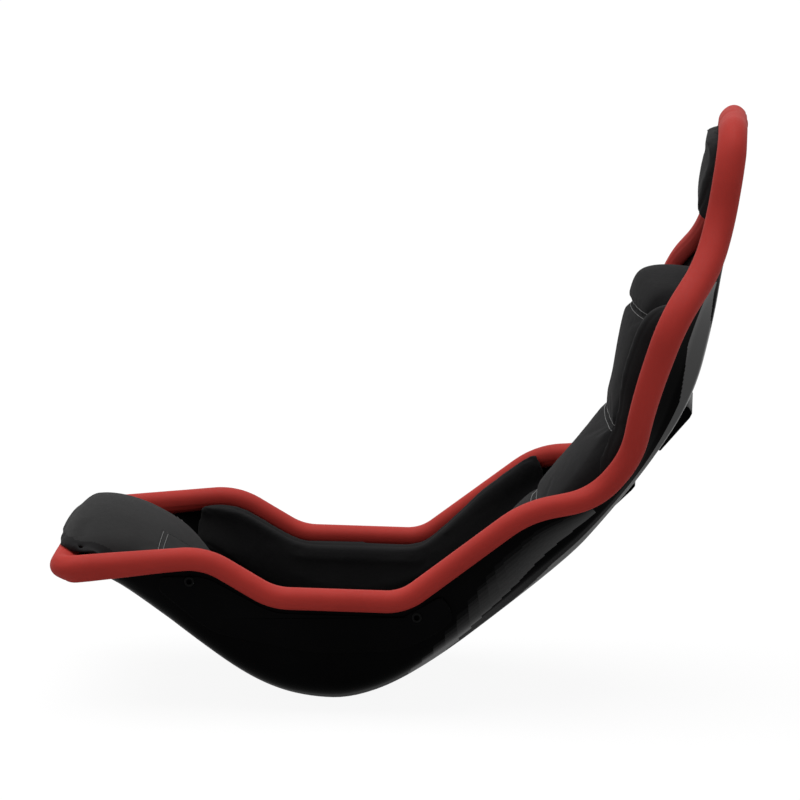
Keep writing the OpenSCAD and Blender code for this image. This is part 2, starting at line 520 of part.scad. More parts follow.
// backing plate whose far face is at z1
module backing_plate(z1, length, width, holes) difference() {
    translate([-length / 2, -width / 2, z1 - plate_t]) cube([length, width, plate_t]);
    for (y = holes) translate([0, y, z1 - plate_t - 1]) cylinder(r = barrel_r + fit, h = plate_t + 2, $fn = 32);
}
function side_plate_face(p) = min(inner_w(p[0] - plate_half), inner_w(p[0] + plate_half)) - side_plate_gap;
module side_plates(side) color(zinc) for (p = [side_bolt_front, side_bolt_rear])
    at_side_bolt(p, side) backing_plate(side_plate_face(p), 2 * plate_half, side_plate_w, [0]);
module side_plates_left() side_plates(-1);
module side_plates_right() side_plates(1);
module side_inserts(side) color(metal) for (p = [side_bolt_front, side_bolt_rear])
    at_side_bolt(p, side) insert(side_plate_face(p) - plate_t - flange_t, side_face);
module side_inserts_left() side_inserts(-1);
module side_inserts_right() side_inserts(1);
// the shell is hollower behind the upper and the lower land
PLATE_HOLLOW = [1.4, 0, 0.5];
function back_plate_face(k) = -wall / 2 - plate_sag - PLATE_HOLLOW[k];
module back_plate(k) color(zinc) at_land(k)
    backing_plate(back_plate_face(k), back_plate_w, back_pitch + 2 * back_plate_end, [-back_pitch / 2, back_pitch / 2]);
module back_plate_upper() back_plate(0);
module back_plate_middle() back_plate(1);
module back_plate_lower() back_plate(2);
function land_height(k) =
    wall / 2 + mix(LANDS[k][1], land_step, (land_bolt_back - land_flat) / (land_len - land_flat));
module back_inserts() color(metal) for (k = [0:2], y = [-0.5, 0.5]) at_land(k)
    translate([0, y * back_pitch, 0]) insert(back_plate_face(k) - plate_t - flange_t, land_height(k));

seat_shell();
rim_trim();
thigh_cushion();
seat_cushion();
side_pad_left();
side_pad_right();
back_cushion();
torso_bolster_left();
torso_bolster_right();
headrest_pad();
side_plates_left();
side_plates_right();
side_inserts_left();
side_inserts_right();
back_plate_upper();
back_plate_middle();
back_plate_lower();
back_inserts();
thigh_hook_strips();
seat_hook_strips();
side_hook_strips();
back_hook_strips();
bolster_hook_strips();
headrest_hook_strips();
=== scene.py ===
"""Looks of the racing seat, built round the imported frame.

Shapes are worked out in millimetres, as in the part's source, and scaled by MM when a mesh is made.
Stations s count the corners of the rim line from the front bar (0) to the head arch (LAST); v runs
across the shell from the left lip (-4) over the keel (0) to the right lip (4).
"""
import math

import bmesh
import bpy
import numpy as np
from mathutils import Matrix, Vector
from mathutils.bvhtree import BVHTree
from mathutils.kdtree import KDTree


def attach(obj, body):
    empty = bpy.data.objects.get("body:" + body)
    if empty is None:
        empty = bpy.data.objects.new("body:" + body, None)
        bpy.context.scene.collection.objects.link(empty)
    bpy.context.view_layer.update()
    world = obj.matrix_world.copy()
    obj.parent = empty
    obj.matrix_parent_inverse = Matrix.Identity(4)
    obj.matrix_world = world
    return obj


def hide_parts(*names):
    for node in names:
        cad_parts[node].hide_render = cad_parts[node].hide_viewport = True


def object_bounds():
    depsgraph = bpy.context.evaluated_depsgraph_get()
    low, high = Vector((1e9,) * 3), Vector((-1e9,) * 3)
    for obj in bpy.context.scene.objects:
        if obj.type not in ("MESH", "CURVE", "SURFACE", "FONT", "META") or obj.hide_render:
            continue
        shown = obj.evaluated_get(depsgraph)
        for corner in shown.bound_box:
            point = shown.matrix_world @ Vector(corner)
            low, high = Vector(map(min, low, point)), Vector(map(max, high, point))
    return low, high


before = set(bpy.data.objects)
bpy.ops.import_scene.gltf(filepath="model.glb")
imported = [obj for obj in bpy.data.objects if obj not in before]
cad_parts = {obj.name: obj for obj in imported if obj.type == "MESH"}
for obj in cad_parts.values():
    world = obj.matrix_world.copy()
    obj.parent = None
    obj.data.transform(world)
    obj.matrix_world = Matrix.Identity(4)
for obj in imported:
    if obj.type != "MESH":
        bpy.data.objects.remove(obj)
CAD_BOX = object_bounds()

MM = 0.001
ROOT = "root"
SIDES = ((-1, "left"), (1, "right"))

# ---------------- the rim line and the shell
THIGH_LEN, THIGH_SLOPE = 204, 6
DROP_LEN, DROP_SLOPE = 110, -30.5
PAN_LEN = 182
RAMP_LEN, RAMP_SLOPE = 213, 37.3
WAIST_LEN, WAIST_SLOPE = 94, 8
RIB_LEN, RIB_SLOPE = 78.8, 50
CHEST_LEN, CHEST_SLOPE = 92, 78.7
SHOULDER_LEN, SHOULDER_SLOPE = 119, 72
NECK_LEN, NECK_SLOPE = 78, 54
NAPE_LEN, NAPE_SLOPE = 61, 74
HEAD_LEN, HEAD_SLOPE = 84, 81
ARCH_RISE = 33
FRONT_W, PAN_W, HIP_W, WAIST_W, RIB_W = 196, 200, 193, 160, 172
CHEST_W, SHOULDER_W, NECK_W, HEAD_W = 212, 243, 165, 124
WALL = 4
PAN_D, CREST_D, HIP_D, WAIST_D, RIB_D = 168, 137, 101, 34, 29
CHEST_D, SHOULDER_D, HEAD_D = 66, 57, 18
LAND_LEN, LAND_W, SIDE_LAND = 72, 74, 2.5
RIM_H, RIM_W, RIM_HEAD_H, RIM_HEAD_W, RIM_FRONT_H = 31, 33, 37, 41, 37
PAD_GAP, SEAT_PAD, SIDE_PAD, BOLSTER_PAD, HEAD_PAD = 3, 34, 30, 49, 42
THIGH_NOSE, CHANNEL_DEPTH = 21, 12
BARREL_R, SIDE_PITCH, SIDE_PITCH_SLOPE = 7, 320, -8.2
BOLT_BEHIND_CREST, BOLT_BELOW_CREST = 21, 34
FRONT_CROWN, BAR_W, ARCH_END_W = 8, 30, 14
ARCH_W = HEAD_W * 0.72


def step(p, length, slope):
    a = math.radians(slope)
    return p[0] + length * math.cos(a), p[1] + length * math.sin(a)


P4 = (0, 0)
P3 = (-PAN_LEN, 3)
P2 = step(P3, -DROP_LEN, DROP_SLOPE)
P1 = step(P2, -THIGH_LEN, THIGH_SLOPE)
P5 = step(P4, RAMP_LEN, RAMP_SLOPE)
P6 = step(P5, WAIST_LEN, WAIST_SLOPE)
P7 = step(P6, RIB_LEN, RIB_SLOPE)
P8 = step(P7, CHEST_LEN, CHEST_SLOPE)
P9 = step(P8, SHOULDER_LEN, SHOULDER_SLOPE)
P10 = step(P9, NECK_LEN, NECK_SLOPE)
P11 = step(P10, NAPE_LEN, NAPE_SLOPE)
P12 = step(P11, HEAD_LEN, HEAD_SLOPE)
P13 = (P12[0] + 2, P12[1] + ARCH_RISE)
SIDE = [(P1[0] - 1, P1[1] + FRONT_CROWN), P1, P2, P3, P4, P5, P6, P7, P8, P9, P10, P11, P12, P13, P13]
HALF = [BAR_W, FRONT_W, PAN_W, PAN_W, PAN_W, HIP_W, WAIST_W, RIB_W, CHEST_W, SHOULDER_W, NECK_W,
        HEAD_W + 3, HEAD_W - 2, ARCH_W, ARCH_END_W]
RAIL = np.array([(p[0], w, p[1]) for p, w in zip(SIDE, HALF)], float)
DEPTH = [1, 17, CREST_D, PAN_D, PAN_D, HIP_D, WAIST_D, RIB_D, CHEST_D, SHOULDER_D, HEAD_D + 3, HEAD_D,
         HEAD_D - 3, HEAD_D - 6, 1]
LEAN = [90, 60, -102, -87.6, -102, -61, -60.5, -30, -13.7, -22, -20, -11, -6, -10, -20]
KEEL = np.array([(r[0] + d * math.cos(math.radians(a)), 0, r[2] + d * math.sin(math.radians(a)))
                 for r, d, a in zip(RAIL, DEPTH, LEAN)])
LAST = len(RAIL) - 1


def ext(a):
    """The list with one more entry at each end, in a straight line."""
    a = np.asarray(a, float)
    return np.concatenate([[2 * a[0] - a[1]], a, [2 * a[-1] - a[-2]]])


def smooth(a, s):
    """Quadratic spline through the list's stations, rounded at each of them."""
    e = ext(a)
    i = np.floor(np.asarray(s, float) + 0.5).astype(int)
    q = np.asarray(s, float) - i + 0.5
    i = np.clip(i, 0, len(a) - 1)
    if e.ndim > 1:
        q = q[..., None]
    return (1 - q) ** 2 / 2 * e[i] + (0.5 + q * (1 - q)) * e[i + 1] + q * q / 2 * e[i + 2]


shift = np.array([-(P1[0] - THIGH_NOSE + P13[0] + RIM_HEAD_W / 2) / 2, 0,
                  WALL / 2 - smooth(KEEL, np.arange(2, 5.001, 0.05))[:, 2].min()])
RAIL = RAIL + shift
KEEL = KEEL + shift
FRONT_CORNER = (RAIL[1][0], RAIL[1][2])
CREST_P = (RAIL[2][0], RAIL[2][2])
PAN_FRONT = (RAIL[3][0], RAIL[3][2])
PAN_REAR = (RAIL[4][0], RAIL[4][2])
CUT = np.array([10, 30, 32, 24, 26, 36, 38, 38, 50, 46, 40, 32, 40, 30, 10], float)
EDGE = np.linalg.norm(np.diff(RAIL, axis=0), axis=1)
CUT_BEFORE = np.array([0.01] + [min(0.5, CUT[i] / EDGE[i - 1]) for i in range(1, LAST)] + [0.01])
CUT_AFTER = np.array([0.01] + [min(0.5, CUT[i] / EDGE[i]) for i in range(1, LAST)] + [0.01])


def corner_point(A, B, C, ra, rc, p):
    """Point p on the path A-B-C with B at 0, its corner rounded over the shares ra and rc."""
    ra, rc, p = ra[..., None], rc[..., None], p[..., None]
    k = (p + ra) / (ra + rc)
    Q, R = B - (B - A) * ra, B + (C - B) * rc
    bend = (1 - k) ** 2 * Q + 2 * k * (1 - k) * B + k * k * R
    return np.where(p < -ra, B + (B - A) * p, np.where(p > rc, B + (C - B) * p, bend))


def both(a, b):
    """The two as float arrays of one shape."""
    return np.broadcast_arrays(np.asarray(a, float), np.asarray(b, float))


def rail(s):
    s = np.asarray(s, float)
    i = np.clip(np.floor(s + 0.5).astype(int), 0, LAST)
    e = ext(RAIL)
    return corner_point(e[i], e[i + 1], e[i + 2], CUT_BEFORE[i], CUT_AFTER[i], s - i)


BOWL = np.array([1.0, 0.42, 0.92, 0.80, 0.62, 0.97])
BACK = np.array([0.72, 0.24, 0.57, 0.62, 0.46, 1.0])
HEAD = np.array([0.90, 0.35, 0.75, 0.75, 0.50, 1.0])
SECTION = np.array([[0.8, 0.2, 0.55, 0.5, 0.3, 0.9], [0.97, 0.3, 0.8, 0.62, 0.52, 0.92],
                    BOWL + [0, .03, 0, .06, 0, .01], BOWL, BOWL, [0.99, 0.38, 0.87, 0.76, 0.66, 0.98],
                    [0.96, 0.35, 0.88, 0.70, 0.74, 1.0], [0.92, 0.26, 0.80, 0.62, 0.70, 1.0],
                    BACK + [.02, -.02, .03, -.02, .04, 0], BACK, [0.85, 0.30, 0.66, 0.70, 0.50, 1.0],
                    HEAD, HEAD, HEAD, HEAD])
ROUND = np.array([[.45, .45, .45], [.45, .45, .45], [.45, .45, .45], [.45, .45, .45], [.45, .40, .40],
                  [.40, .16, .16], [.30, .12, .12], [.30, .12, .12], [.30, .12, .12], [.30, .14, .14],
                  [.35, .30, .30], [.40, .40, .40], [.40, .40, .40], [.40, .40, .40], [.40, .40, .40]])


def half_section(M, r, t):
    """Half of the cross section, as shares of width and depth, from lip (0) to keel (4)."""
    shape = t.shape
    A = np.zeros(shape + (7, 2))
    A[..., 1, :] = (1, 0)
    A[..., 2, :] = M[..., 0:2]
    A[..., 3, :] = M[..., 2:4]
    A[..., 4, :] = M[..., 4:6]
    A[..., 5, :] = (0, 1)
    A[..., 0, :] = 2 * A[..., 1, :] - A[..., 2, :]
    A[..., 6, :] = 2 * A[..., 5, :] - A[..., 4, :]
    i = np.clip(np.floor(t + 0.5).astype(int), 0, 4)
    pick = lambda k: np.take_along_axis(A, (i + k)[..., None, None], axis=-2)[..., 0, :]
    rr = np.concatenate([np.full(shape + (1,), .01), r, np.full(shape + (1,), .01)], axis=-1)
    k = np.take_along_axis(rr, i[..., None], axis=-1)[..., 0]
    return corner_point(pick(0), pick(1), pick(2), k, k, t - i)


def surf(s, v):
    """Point of the shell's middle surface at station s, v across."""
    s, v = both(s, v)
    R, K = rail(s), smooth(KEEL, s)
    c = half_section(smooth(SECTION, s), smooth(ROUND, s), 4 - np.abs(v))
    side = np.where(v < 0, -1, 1)
    return np.stack([R[..., 0] * (1 - c[..., 1]) + K[..., 0] * c[..., 1], side * R[..., 1] * c[..., 0],
                     R[..., 2] * (1 - c[..., 1]) + K[..., 2] * c[..., 1]], axis=-1)


def unit(a):
    return a / np.maximum(np.linalg.norm(a, axis=-1, keepdims=True), 1e-9)


def inward(s, v):
    """Direction from the shell into the bowl."""
    s, v = both(s, v)
    e = 0.04
    s0, s1 = np.maximum(0, s - e), np.minimum(LAST, s + e)
    v0, v1 = np.maximum(-4, v - e), np.minimum(4, v + e)
    return unit(np.cross(surf(s1, v) - surf(s0, v), surf(s, v1) - surf(s, v0)))


def lifted(s, v, h):
    """Point at height h over the middle surface, on the bowl's side."""
    return surf(s, v) + inward(s, v) * h


# ---------------- mesh helpers
def make(name, verts, faces, mat, smooth_shade=True, scale=MM):
    me = bpy.data.meshes.new(name)
    me.from_pydata([tuple(p) for p in np.asarray(verts, float) * scale], [], [tuple(f) for f in faces])
    me.update()
    o = bpy.data.objects.new(name, me)
    bpy.context.scene.collection.objects.link(o)
    if smooth_shade:
        me.shade_smooth()
    if mat:
        me.materials.append(mat)
    return o


def apply_modifiers(o):
    """Replace the object's mesh by its evaluated one and drop the modifiers."""
    bpy.context.view_layer.update()
    dg = bpy.context.evaluated_depsgraph_get()
    me = bpy.data.meshes.new_from_object(o.evaluated_get(dg), preserve_all_data_layers=True, depsgraph=dg)
    old = o.data
    o.modifiers.clear()
    o.data = me
    bpy.data.meshes.remove(old)


def bevel(o, width, segments, angle):
    m = o.modifiers.new("bevel", "BEVEL")
    m.width, m.segments, m.limit_method, m.angle_limit = width * MM, segments, "ANGLE", math.radians(angle)
    m.harden_normals = False
    apply_modifiers(o)
    o.data.shade_smooth()


def grid_faces(n, m, first, flip=False):
    corners = (first + i * m + j for i in range(n - 1) for j in range(m - 1))
    q = [(a, a + 1, a + m + 1, a + m) for a in corners]
    return [f[::-1] for f in q] if flip else q


def skin(name, S, V, lo, hi, mat):
    """Closed skin of the shell's faces between two offsets from its middle surface."""
    s, v = np.meshgrid(S, V, indexing="ij")
    n, m = s.shape
    P, N = surf(s, v), inward(s, v)
    pts = np.concatenate([(P + N * lo).reshape(-1, 3), (P + N * hi).reshape(-1, 3)])
    o = n * m
    faces = grid_faces(n, m, 0, True) + grid_faces(n, m, o)
    for i in range(n - 1):
        a, b = i * m, i * m + m - 1
        faces += [(a, a + m, o + a + m, o + a), (b, o + b, o + b + m, b + m)]
    for j in range(m - 1):
        a, b = j, (n - 1) * m + j
        faces += [(a, o + a, o + a + 1, a + 1), (b, b + 1, o + b + 1, o + b)]
    return make(name, pts, faces, mat)


def outward_faces(o):
    bm = bmesh.new()
    bm.from_mesh(o.data)
    bmesh.ops.recalc_face_normals(bm, faces=bm.faces)
    bm.to_mesh(o.data)
    bm.free()
    return o


def ring_faces(n, m, closed):
    """Faces between n rings of m points each; closed: also from the last ring to the first."""
    return [(i * m + j, (i + 1) % n * m + j, (i + 1) % n * m + (j + 1) % m, i * m + (j + 1) % m)
            for i in range(n if closed else n - 1) for j in range(m)]


def tube(points, radii, sides):
    """Vertices and faces of a round tube with closed ends along points."""
    p = np.asarray(points, float)
    n = len(p)
    t = unit(np.gradient(p, axis=0))
    up = np.array([0, 0, 1.0]) if abs(t[0][2]) < 0.9 else np.array([0, 1.0, 0])
    a = unit(np.cross(t[0], up))
    verts = []
    for k in range(n):
        a = unit(a - t[k] * (a @ t[k]))
        c = np.cross(t[k], a)
        for j in range(sides):
            w = 2 * math.pi * j / sides
            verts.append(p[k] + (a * math.cos(w) + c * math.sin(w)) * radii[k])
    ends = [tuple(range(sides)), tuple((n - 1) * sides + j for j in range(sides - 1, -1, -1))]
    return verts, ring_faces(n, sides, False) + ends


# ---------------- materials
def new_material(name, color, roughness, **sockets):
    mat = bpy.data.materials.new(name)
    mat.use_nodes = True
    nt = mat.node_tree
    b = nt.nodes["Principled BSDF"]
    b.inputs["Base Color"].default_value = (*color, 1)
    b.inputs["Roughness"].default_value = roughness
    for k, v in sockets.items():
        b.inputs[k.replace("_", " ")].default_value = v
    return mat, nt, b


def node(nt, kind, **props):
    n = nt.nodes.new(kind)
    for k, v in props.items():
        if k in n.inputs:
            n.inputs[k].default_value = v
        else:
            setattr(n, k, v)
    return n


def coords(nt):
    return node(nt, "ShaderNodeTexCoord").outputs["Object"]


def noise(nt, vec, scale, detail=4.0, rough=0.55):
    n = node(nt, "ShaderNodeTexNoise", Scale=scale, Detail=detail, Roughness=rough)
    nt.links.new(vec, n.inputs["Vector"])
    return n.outputs["Fac"]


def ramp(nt, fac, stops):
    r = node(nt, "ShaderNodeValToRGB")
    e = r.color_ramp.elements
    e[0].position, e[0].color = stops[0][0], (*stops[0][1], 1)
    e[1].position, e[1].color = stops[-1][0], (*stops[-1][1], 1)
    for pos, col in stops[1:-1]:
        x = e.new(pos)
        x.color = (*col, 1)
    nt.links.new(fac, r.inputs["Fac"])
    return r.outputs["Color"]


def grey_ramp(nt, fac, lo, hi, a=0.0, b=1.0):
    return ramp(nt, fac, [(a, (lo,) * 3), (b, (hi,) * 3)])


def bump(nt, b, height, strength, distance, chain=None):
    n = node(nt, "ShaderNodeBump", Strength=strength, Distance=distance)
    nt.links.new(height, n.inputs["Height"])
    if chain is not None:
        nt.links.new(chain, n.inputs["Normal"])
    nt.links.new(n.outputs["Normal"], b.inputs["Normal"])
    return n.outputs["Normal"]


def paint(nt, b, fac, stops):
    nt.links.new(ramp(nt, fac, stops), b.inputs["Base Color"])


def roughen(nt, b, fac, lo, hi, a=0.3, z=0.7):
    nt.links.new(grey_ramp(nt, fac, lo, hi, a, z), b.inputs["Roughness"])


def math_node(nt, op, a, b):
    n = node(nt, "ShaderNodeMath", operation=op)
    for k, x in enumerate((a, b)):
        if isinstance(x, (int, float)):
            n.inputs[k].default_value = x
        else:
            nt.links.new(x, n.inputs[k])
    return n.outputs[0]


def blend(nt, big, fine, a, b):
    return math_node(nt, "ADD", math_node(nt, "MULTIPLY", big, a), math_node(nt, "MULTIPLY", fine, b))


WAVE_LENGTH = 0.314     # of Blender's wave texture at scale 1, in metres


def weave(nt, vec, pitch):
    """Height of a fine woven cloth: crossing threads, pitch apart in metres."""
    out = None
    for axis in ("X", "Y", "Z"):
        w = node(nt, "ShaderNodeTexWave", wave_type="BANDS", bands_direction=axis, Scale=WAVE_LENGTH / pitch,
                 Distortion=0.6, Detail=1.0)
        w.inputs["Detail Scale"].default_value = 2.0
        nt.links.new(vec, w.inputs["Vector"])
        out = w.outputs["Fac"] if out is None else math_node(nt, "MULTIPLY", out, w.outputs["Fac"])
    return out


def fabric_material(name, dark, light, pitch=0.0016, sheen=0.03, rough=0.9):
    mat, nt, b = new_material(name, light, rough, Sheen_Weight=sheen, Sheen_Roughness=0.45,
                              Specular_IOR_Level=0.08)
    vec = coords(nt)
    big = noise(nt, vec, 9.0, 3.0)
    fine = noise(nt, vec, 260.0, 2.0)
    paint(nt, b, blend(nt, big, fine, 0.65, 0.35), [(0.32, dark), (0.68, light)])
    roughen(nt, b, fine, rough - 0.08, min(1.0, rough + 0.06))
    first = bump(nt, b, weave(nt, vec, pitch), 0.35, 0.0006)
    second = bump(nt, b, fine, 0.25, 0.0005, first)
    bump(nt, b, noise(nt, vec, 34.0, 3.0), 0.18, 0.004, second)
    return mat


def shell_material(name, gloss):
    mat, nt, b = new_material(name, (0.003, 0.003, 0.0031), 0.3, Specular_IOR_Level=gloss)
    vec = coords(nt)
    big = noise(nt, vec, 5.0, 4.0)
    speck = noise(nt, vec, 420.0, 2.0)
    paint(nt, b, big, [(0.3, (0.0018, 0.0018, 0.0019)), (0.7, (0.0034, 0.0034, 0.0036))])
    roughen(nt, b, blend(nt, big, speck, 0.22, 0.12), 0.2, 0.34, 0.1, 0.3)
    first = bump(nt, b, speck, 0.12, 0.0004)
    bump(nt, b, noise(nt, vec, 16.0, 2.0), 0.10, 0.0025, first)
    return mat


def rim_material():
    mat, nt, b = new_material("rim_red", (0.40, 0.040, 0.030), 0.72, Sheen_Weight=0.02, Sheen_Roughness=0.4,
                              Specular_IOR_Level=0.2)
    vec = coords(nt)
    big = noise(nt, vec, 7.0, 4.0)
    fine = noise(nt, vec, 380.0, 3.0, 0.6)
    grain = node(nt, "ShaderNodeTexVoronoi", feature="DISTANCE_TO_EDGE", Scale=520.0)
    nt.links.new(vec, grain.inputs["Vector"])
    paint(nt, b, blend(nt, big, fine, 0.7, 0.3),
          [(0.34, (0.36, 0.026, 0.0195)), (0.66, (0.44, 0.034, 0.0255))])
    roughen(nt, b, fine, 0.62, 0.84)
    first = bump(nt, b, grain.outputs["Distance"], 0.22, 0.0005)
    second = bump(nt, b, fine, 0.2, 0.0004, first)
    bump(nt, b, noise(nt, vec, 45.0, 2.0), 0.12, 0.002, second)
    return mat


def thread_material(name, color):
    mat, nt, b = new_material(name, color, 0.75, Sheen_Weight=0.3)
    vec = coords(nt)
    fibre = noise(nt, vec, 900.0, 2.0)
    lo = tuple(c * 0.75 for c in color)
    paint(nt, b, fibre, [(0.3, lo), (0.7, color)])
    bump(nt, b, fibre, 0.4, 0.0003)
    return mat


def steel_material():
    mat, nt, b = new_material("zinc_steel", (0.50, 0.50, 0.51), 0.35, Metallic=1.0)
    vec = coords(nt)
    patch = noise(nt, vec, 60.0, 5.0)
    fine = noise(nt, vec, 900.0, 2.0)
    paint(nt, b, patch, [(0.35, (0.42, 0.43, 0.44)), (0.65, (0.56, 0.56, 0.57))])
    roughen(nt, b, fine, 0.26, 0.5)
    bump(nt, b, fine, 0.15, 0.0002)
    return mat


def dark_metal_material():
    mat, nt, b = new_material("black_oxide", (0.006, 0.006, 0.006), 0.42, Metallic=1.0)
    vec = coords(nt)
    fine = noise(nt, vec, 800.0, 3.0)
    paint(nt, b, fine, [(0.3, (0.004, 0.004, 0.004)), (0.7, (0.008, 0.008, 0.008))])
    roughen(nt, b, fine, 0.34, 0.55)
    bump(nt, b, fine, 0.2, 0.0002)
    return mat


def hook_material():
    mat, nt, b = new_material("hook_tape", (0.012, 0.012, 0.012), 0.95, Sheen_Weight=0.4)
    vec = coords(nt)
    dots = node(nt, "ShaderNodeTexVoronoi", feature="F1", Scale=700.0)
    nt.links.new(vec, dots.inputs["Vector"])
    paint(nt, b, dots.outputs["Distance"], [(0.1, (0.022, 0.022, 0.022)), (0.6, (0.007, 0.007, 0.007))])
    bump(nt, b, dots.outputs["Distance"], 0.6, 0.0006)
    return mat


SHELL = shell_material("shell_satin_black", 0.01)
# painted reflection: a glossier copy of the shell's black, laid on the back where light reflections fall so
# that it shows lighter there
REFLECTION_PATCH = shell_material("shell_painted_reflection", 0.7)
# painted sheen: copies of the shell's black rising in gloss, laid in a band where a soft light reflection
# falls on the lower back
SHEEN_STEPS, SHEEN_FIRST, SHEEN_STEP = 8, 0.04, 0.07
SHEENS = [shell_material(f"shell_painted_sheen_{i + 1}", SHEEN_FIRST + SHEEN_STEP * i) for i in range(SHEEN_STEPS)]
RIM = rim_material()
CLOTH = fabric_material("cloth_black", (0.0095, 0.0095, 0.0100), (0.0185, 0.0182, 0.0187))
SUEDE = fabric_material("suede_charcoal", (0.022, 0.022, 0.0224), (0.030, 0.0297, 0.0297), 0.0013)
THREAD = thread_material("thread_grey", (0.25, 0.25, 0.25))
THREAD_DARK = thread_material("thread_black", (0.02, 0.02, 0.02))
STEEL = steel_material()
OXIDE = dark_metal_material()
HOOK = hook_material()

# ---------------- stations
# a grid line at both ends of each rounded corner and two within it; lines closer than LINE_GAP are left out
LINE_GAP = 0.06
RAW_S = [0.0]
for i in range(1, LAST):
    a, b = CUT_BEFORE[i], CUT_AFTER[i]
    RAW_S += ([i - 0.5] if a < 0.4 else []) + [i - a, i - a + (a + b) / 3, i - a + (a + b) * 2 / 3, i + b]
RAW_S.append(float(LAST))
FEW = [RAW_S[0]]
for x in RAW_S[1:]:
    if x - FEW[-1] > LINE_GAP or x == LAST:
        FEW.append(x)


def refine(values, parts):
    out = []
    for a, b in zip(values[:-1], values[1:]):
        out += [a + (b - a) * k / parts for k in range(parts)]
    return np.array(out + [values[-1]])


HALF_V = [0, 0.82, 1, 1.18, 1.5, 1.82, 2, 2.18, 2.62, 3, 3.38, 4]
V_ALL = [-x for x in HALF_V[:0:-1]] + HALF_V
S_FINE = refine(FEW, 5)


def parts_across(a, b):
    """The grid is finest where the shell's painted reflection patches begin and end."""
    low = min(abs(a), abs(b))
    return 12 if 1 <= low < 2.1 else 8 if 2.1 < low < 3.1 else 4


V_FINE = np.concatenate([refine([a, b], parts_across(a, b))[:-1] for a, b in zip(V_ALL, V_ALL[1:])]
                        + [V_ALL[-1:]])


# ---------------- shell
def at_back(s):
    """Origin, along and outward directions at station s of the back."""
    out = -inward(s, 0.0)
    return surf(s, 0.0), np.array([-out[2], 0, out[0]]), out


LANDS = [(7.78, 15), (6.52, 9), (5.0, 5)]     # station of the upper end and height of each raised land
LAND_FLAT, LAND_STEP, LAND_ROOT = 11, 0.5, -1
BORE_R = BARREL_R + 0.3

# edges of the shell's painted reflection patches, each as stations and the place across where the edge lies
# there
REFLECTION_PATCH_S = (4.2, 9.7)
REFLECTION_PATCH_EDGE = ([4.2, 4.75, 5.1, 7.9, 8.7], [1.0, 1.15, 1.5, 1.5, 2.2])
PATCH_DARK_TOP = ([8.6, 8.8, 9.1, 9.5], [0, 0.9, 1.2, 1.5])
SHEEN_S = (4.1, 5.9)
SHEEN_INNER = ([4.1, 4.24, 4.4, 4.56, 4.76, 4.96, 5.26, 5.6], [1.0, 1.04, 1.34, 1.86, 2.02, 2.2, 2.34, 2.4])
SHEEN_OUTER = ([4.1, 4.16, 4.44, 4.56, 4.7, 4.92, 5.12], [1.5, 1.76, 2.48, 2.84, 3.14, 3.2, 3.28])


def painted_reflection_at(s, v):
    """Shell material at station s, v across: 0 satin, 1 the glossy copy, from 2 on rising in gloss; the
    glossy patch on the back and the gloss band are painted reflection, the patch's satin top painted shade.
    """
    # painted reflection on the back's glossy patch, with painted shade where its top stays satin and dark
    if REFLECTION_PATCH_S[0] < s < REFLECTION_PATCH_S[1] and v < np.interp(s, *REFLECTION_PATCH_EDGE):
        return int(v >= np.interp(s, *PATCH_DARK_TOP))
    # painted sheen: a band on the lower back, glossier towards its inner edge
    if SHEEN_S[0] < s < SHEEN_S[1]:
        inner, outer = np.interp(s, *SHEEN_INNER), np.interp(s, *SHEEN_OUTER)
        k = (v - inner) / (outer - inner)
        if 0 <= k < 1:
            return 2 + int((1 - k) * SHEEN_STEPS)
    return 0


def prism(name, near, far):
    """A closed prism of the shell's material between two equal outlines."""
    m = len(near)
    faces = [tuple(range(m)), tuple(range(2 * m - 1, m - 1, -1))]
    faces += [(j, m + j, m + (j + 1) % m, (j + 1) % m) for j in range(m)]
    return outward_faces(make(name, near + far, faces, SHELL))


def build_shell():
    shell = skin("shell_body", S_FINE, V_FINE, -WALL / 2, WALL / 2, SHELL)
    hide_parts("seat_shell")
    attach(shell, ROOT)
    # painted reflection and sheen: each face of the shell takes a glossy copy where a light reflection is to
    # show
    for m in [REFLECTION_PATCH] + SHEENS:
        shell.data.materials.append(m)
    mid_s, mid_v = (S_FINE[1:] + S_FINE[:-1]) / 2, np.abs(V_FINE[1:] + V_FINE[:-1]) / 2
    for i, sa in enumerate(mid_s):
        for j, va in enumerate(mid_v):
            shell.data.polygons[i * len(mid_v) + j].material_index = painted_reflection_at(sa, va)
    build_back_lands()
    build_side_lands(shell)
    shell.data.shade_smooth()


def build_back_lands():
    """Three raised lands across the back: steep at their upper end, running out at the lower one."""
    for k, (s, rise) in enumerate(LANDS):
        p, along, out = at_back(s)
        top = WALL / 2 + rise
        prof = [(1, LAND_ROOT), (2, WALL / 2 + rise * 0.45), (-3, top), (-LAND_FLAT, top),
                (-LAND_LEN, WALL / 2 + LAND_STEP), (-LAND_LEN, LAND_ROOT)]
        near, far = [[p + along * a + out * b + np.array([0, y, 0]) for a, b in prof]
                     for y in (-LAND_W, LAND_W)]
        land = prism(f"shell_back_land_{k + 1}", near, far)
        bevel(land, 1.6 if k else 2.6, 4, 20)
        land.data.materials.append(REFLECTION_PATCH)
        # painted reflection and shade: faces turned sideways or up stay satin and dark, the other faces take
        # the glossy copy and show lighter
        for f in land.data.polygons:
            f.material_index = 0 if abs(f.normal.y) > 0.6 or f.normal.z > 0.4 else 1
        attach(land, ROOT)


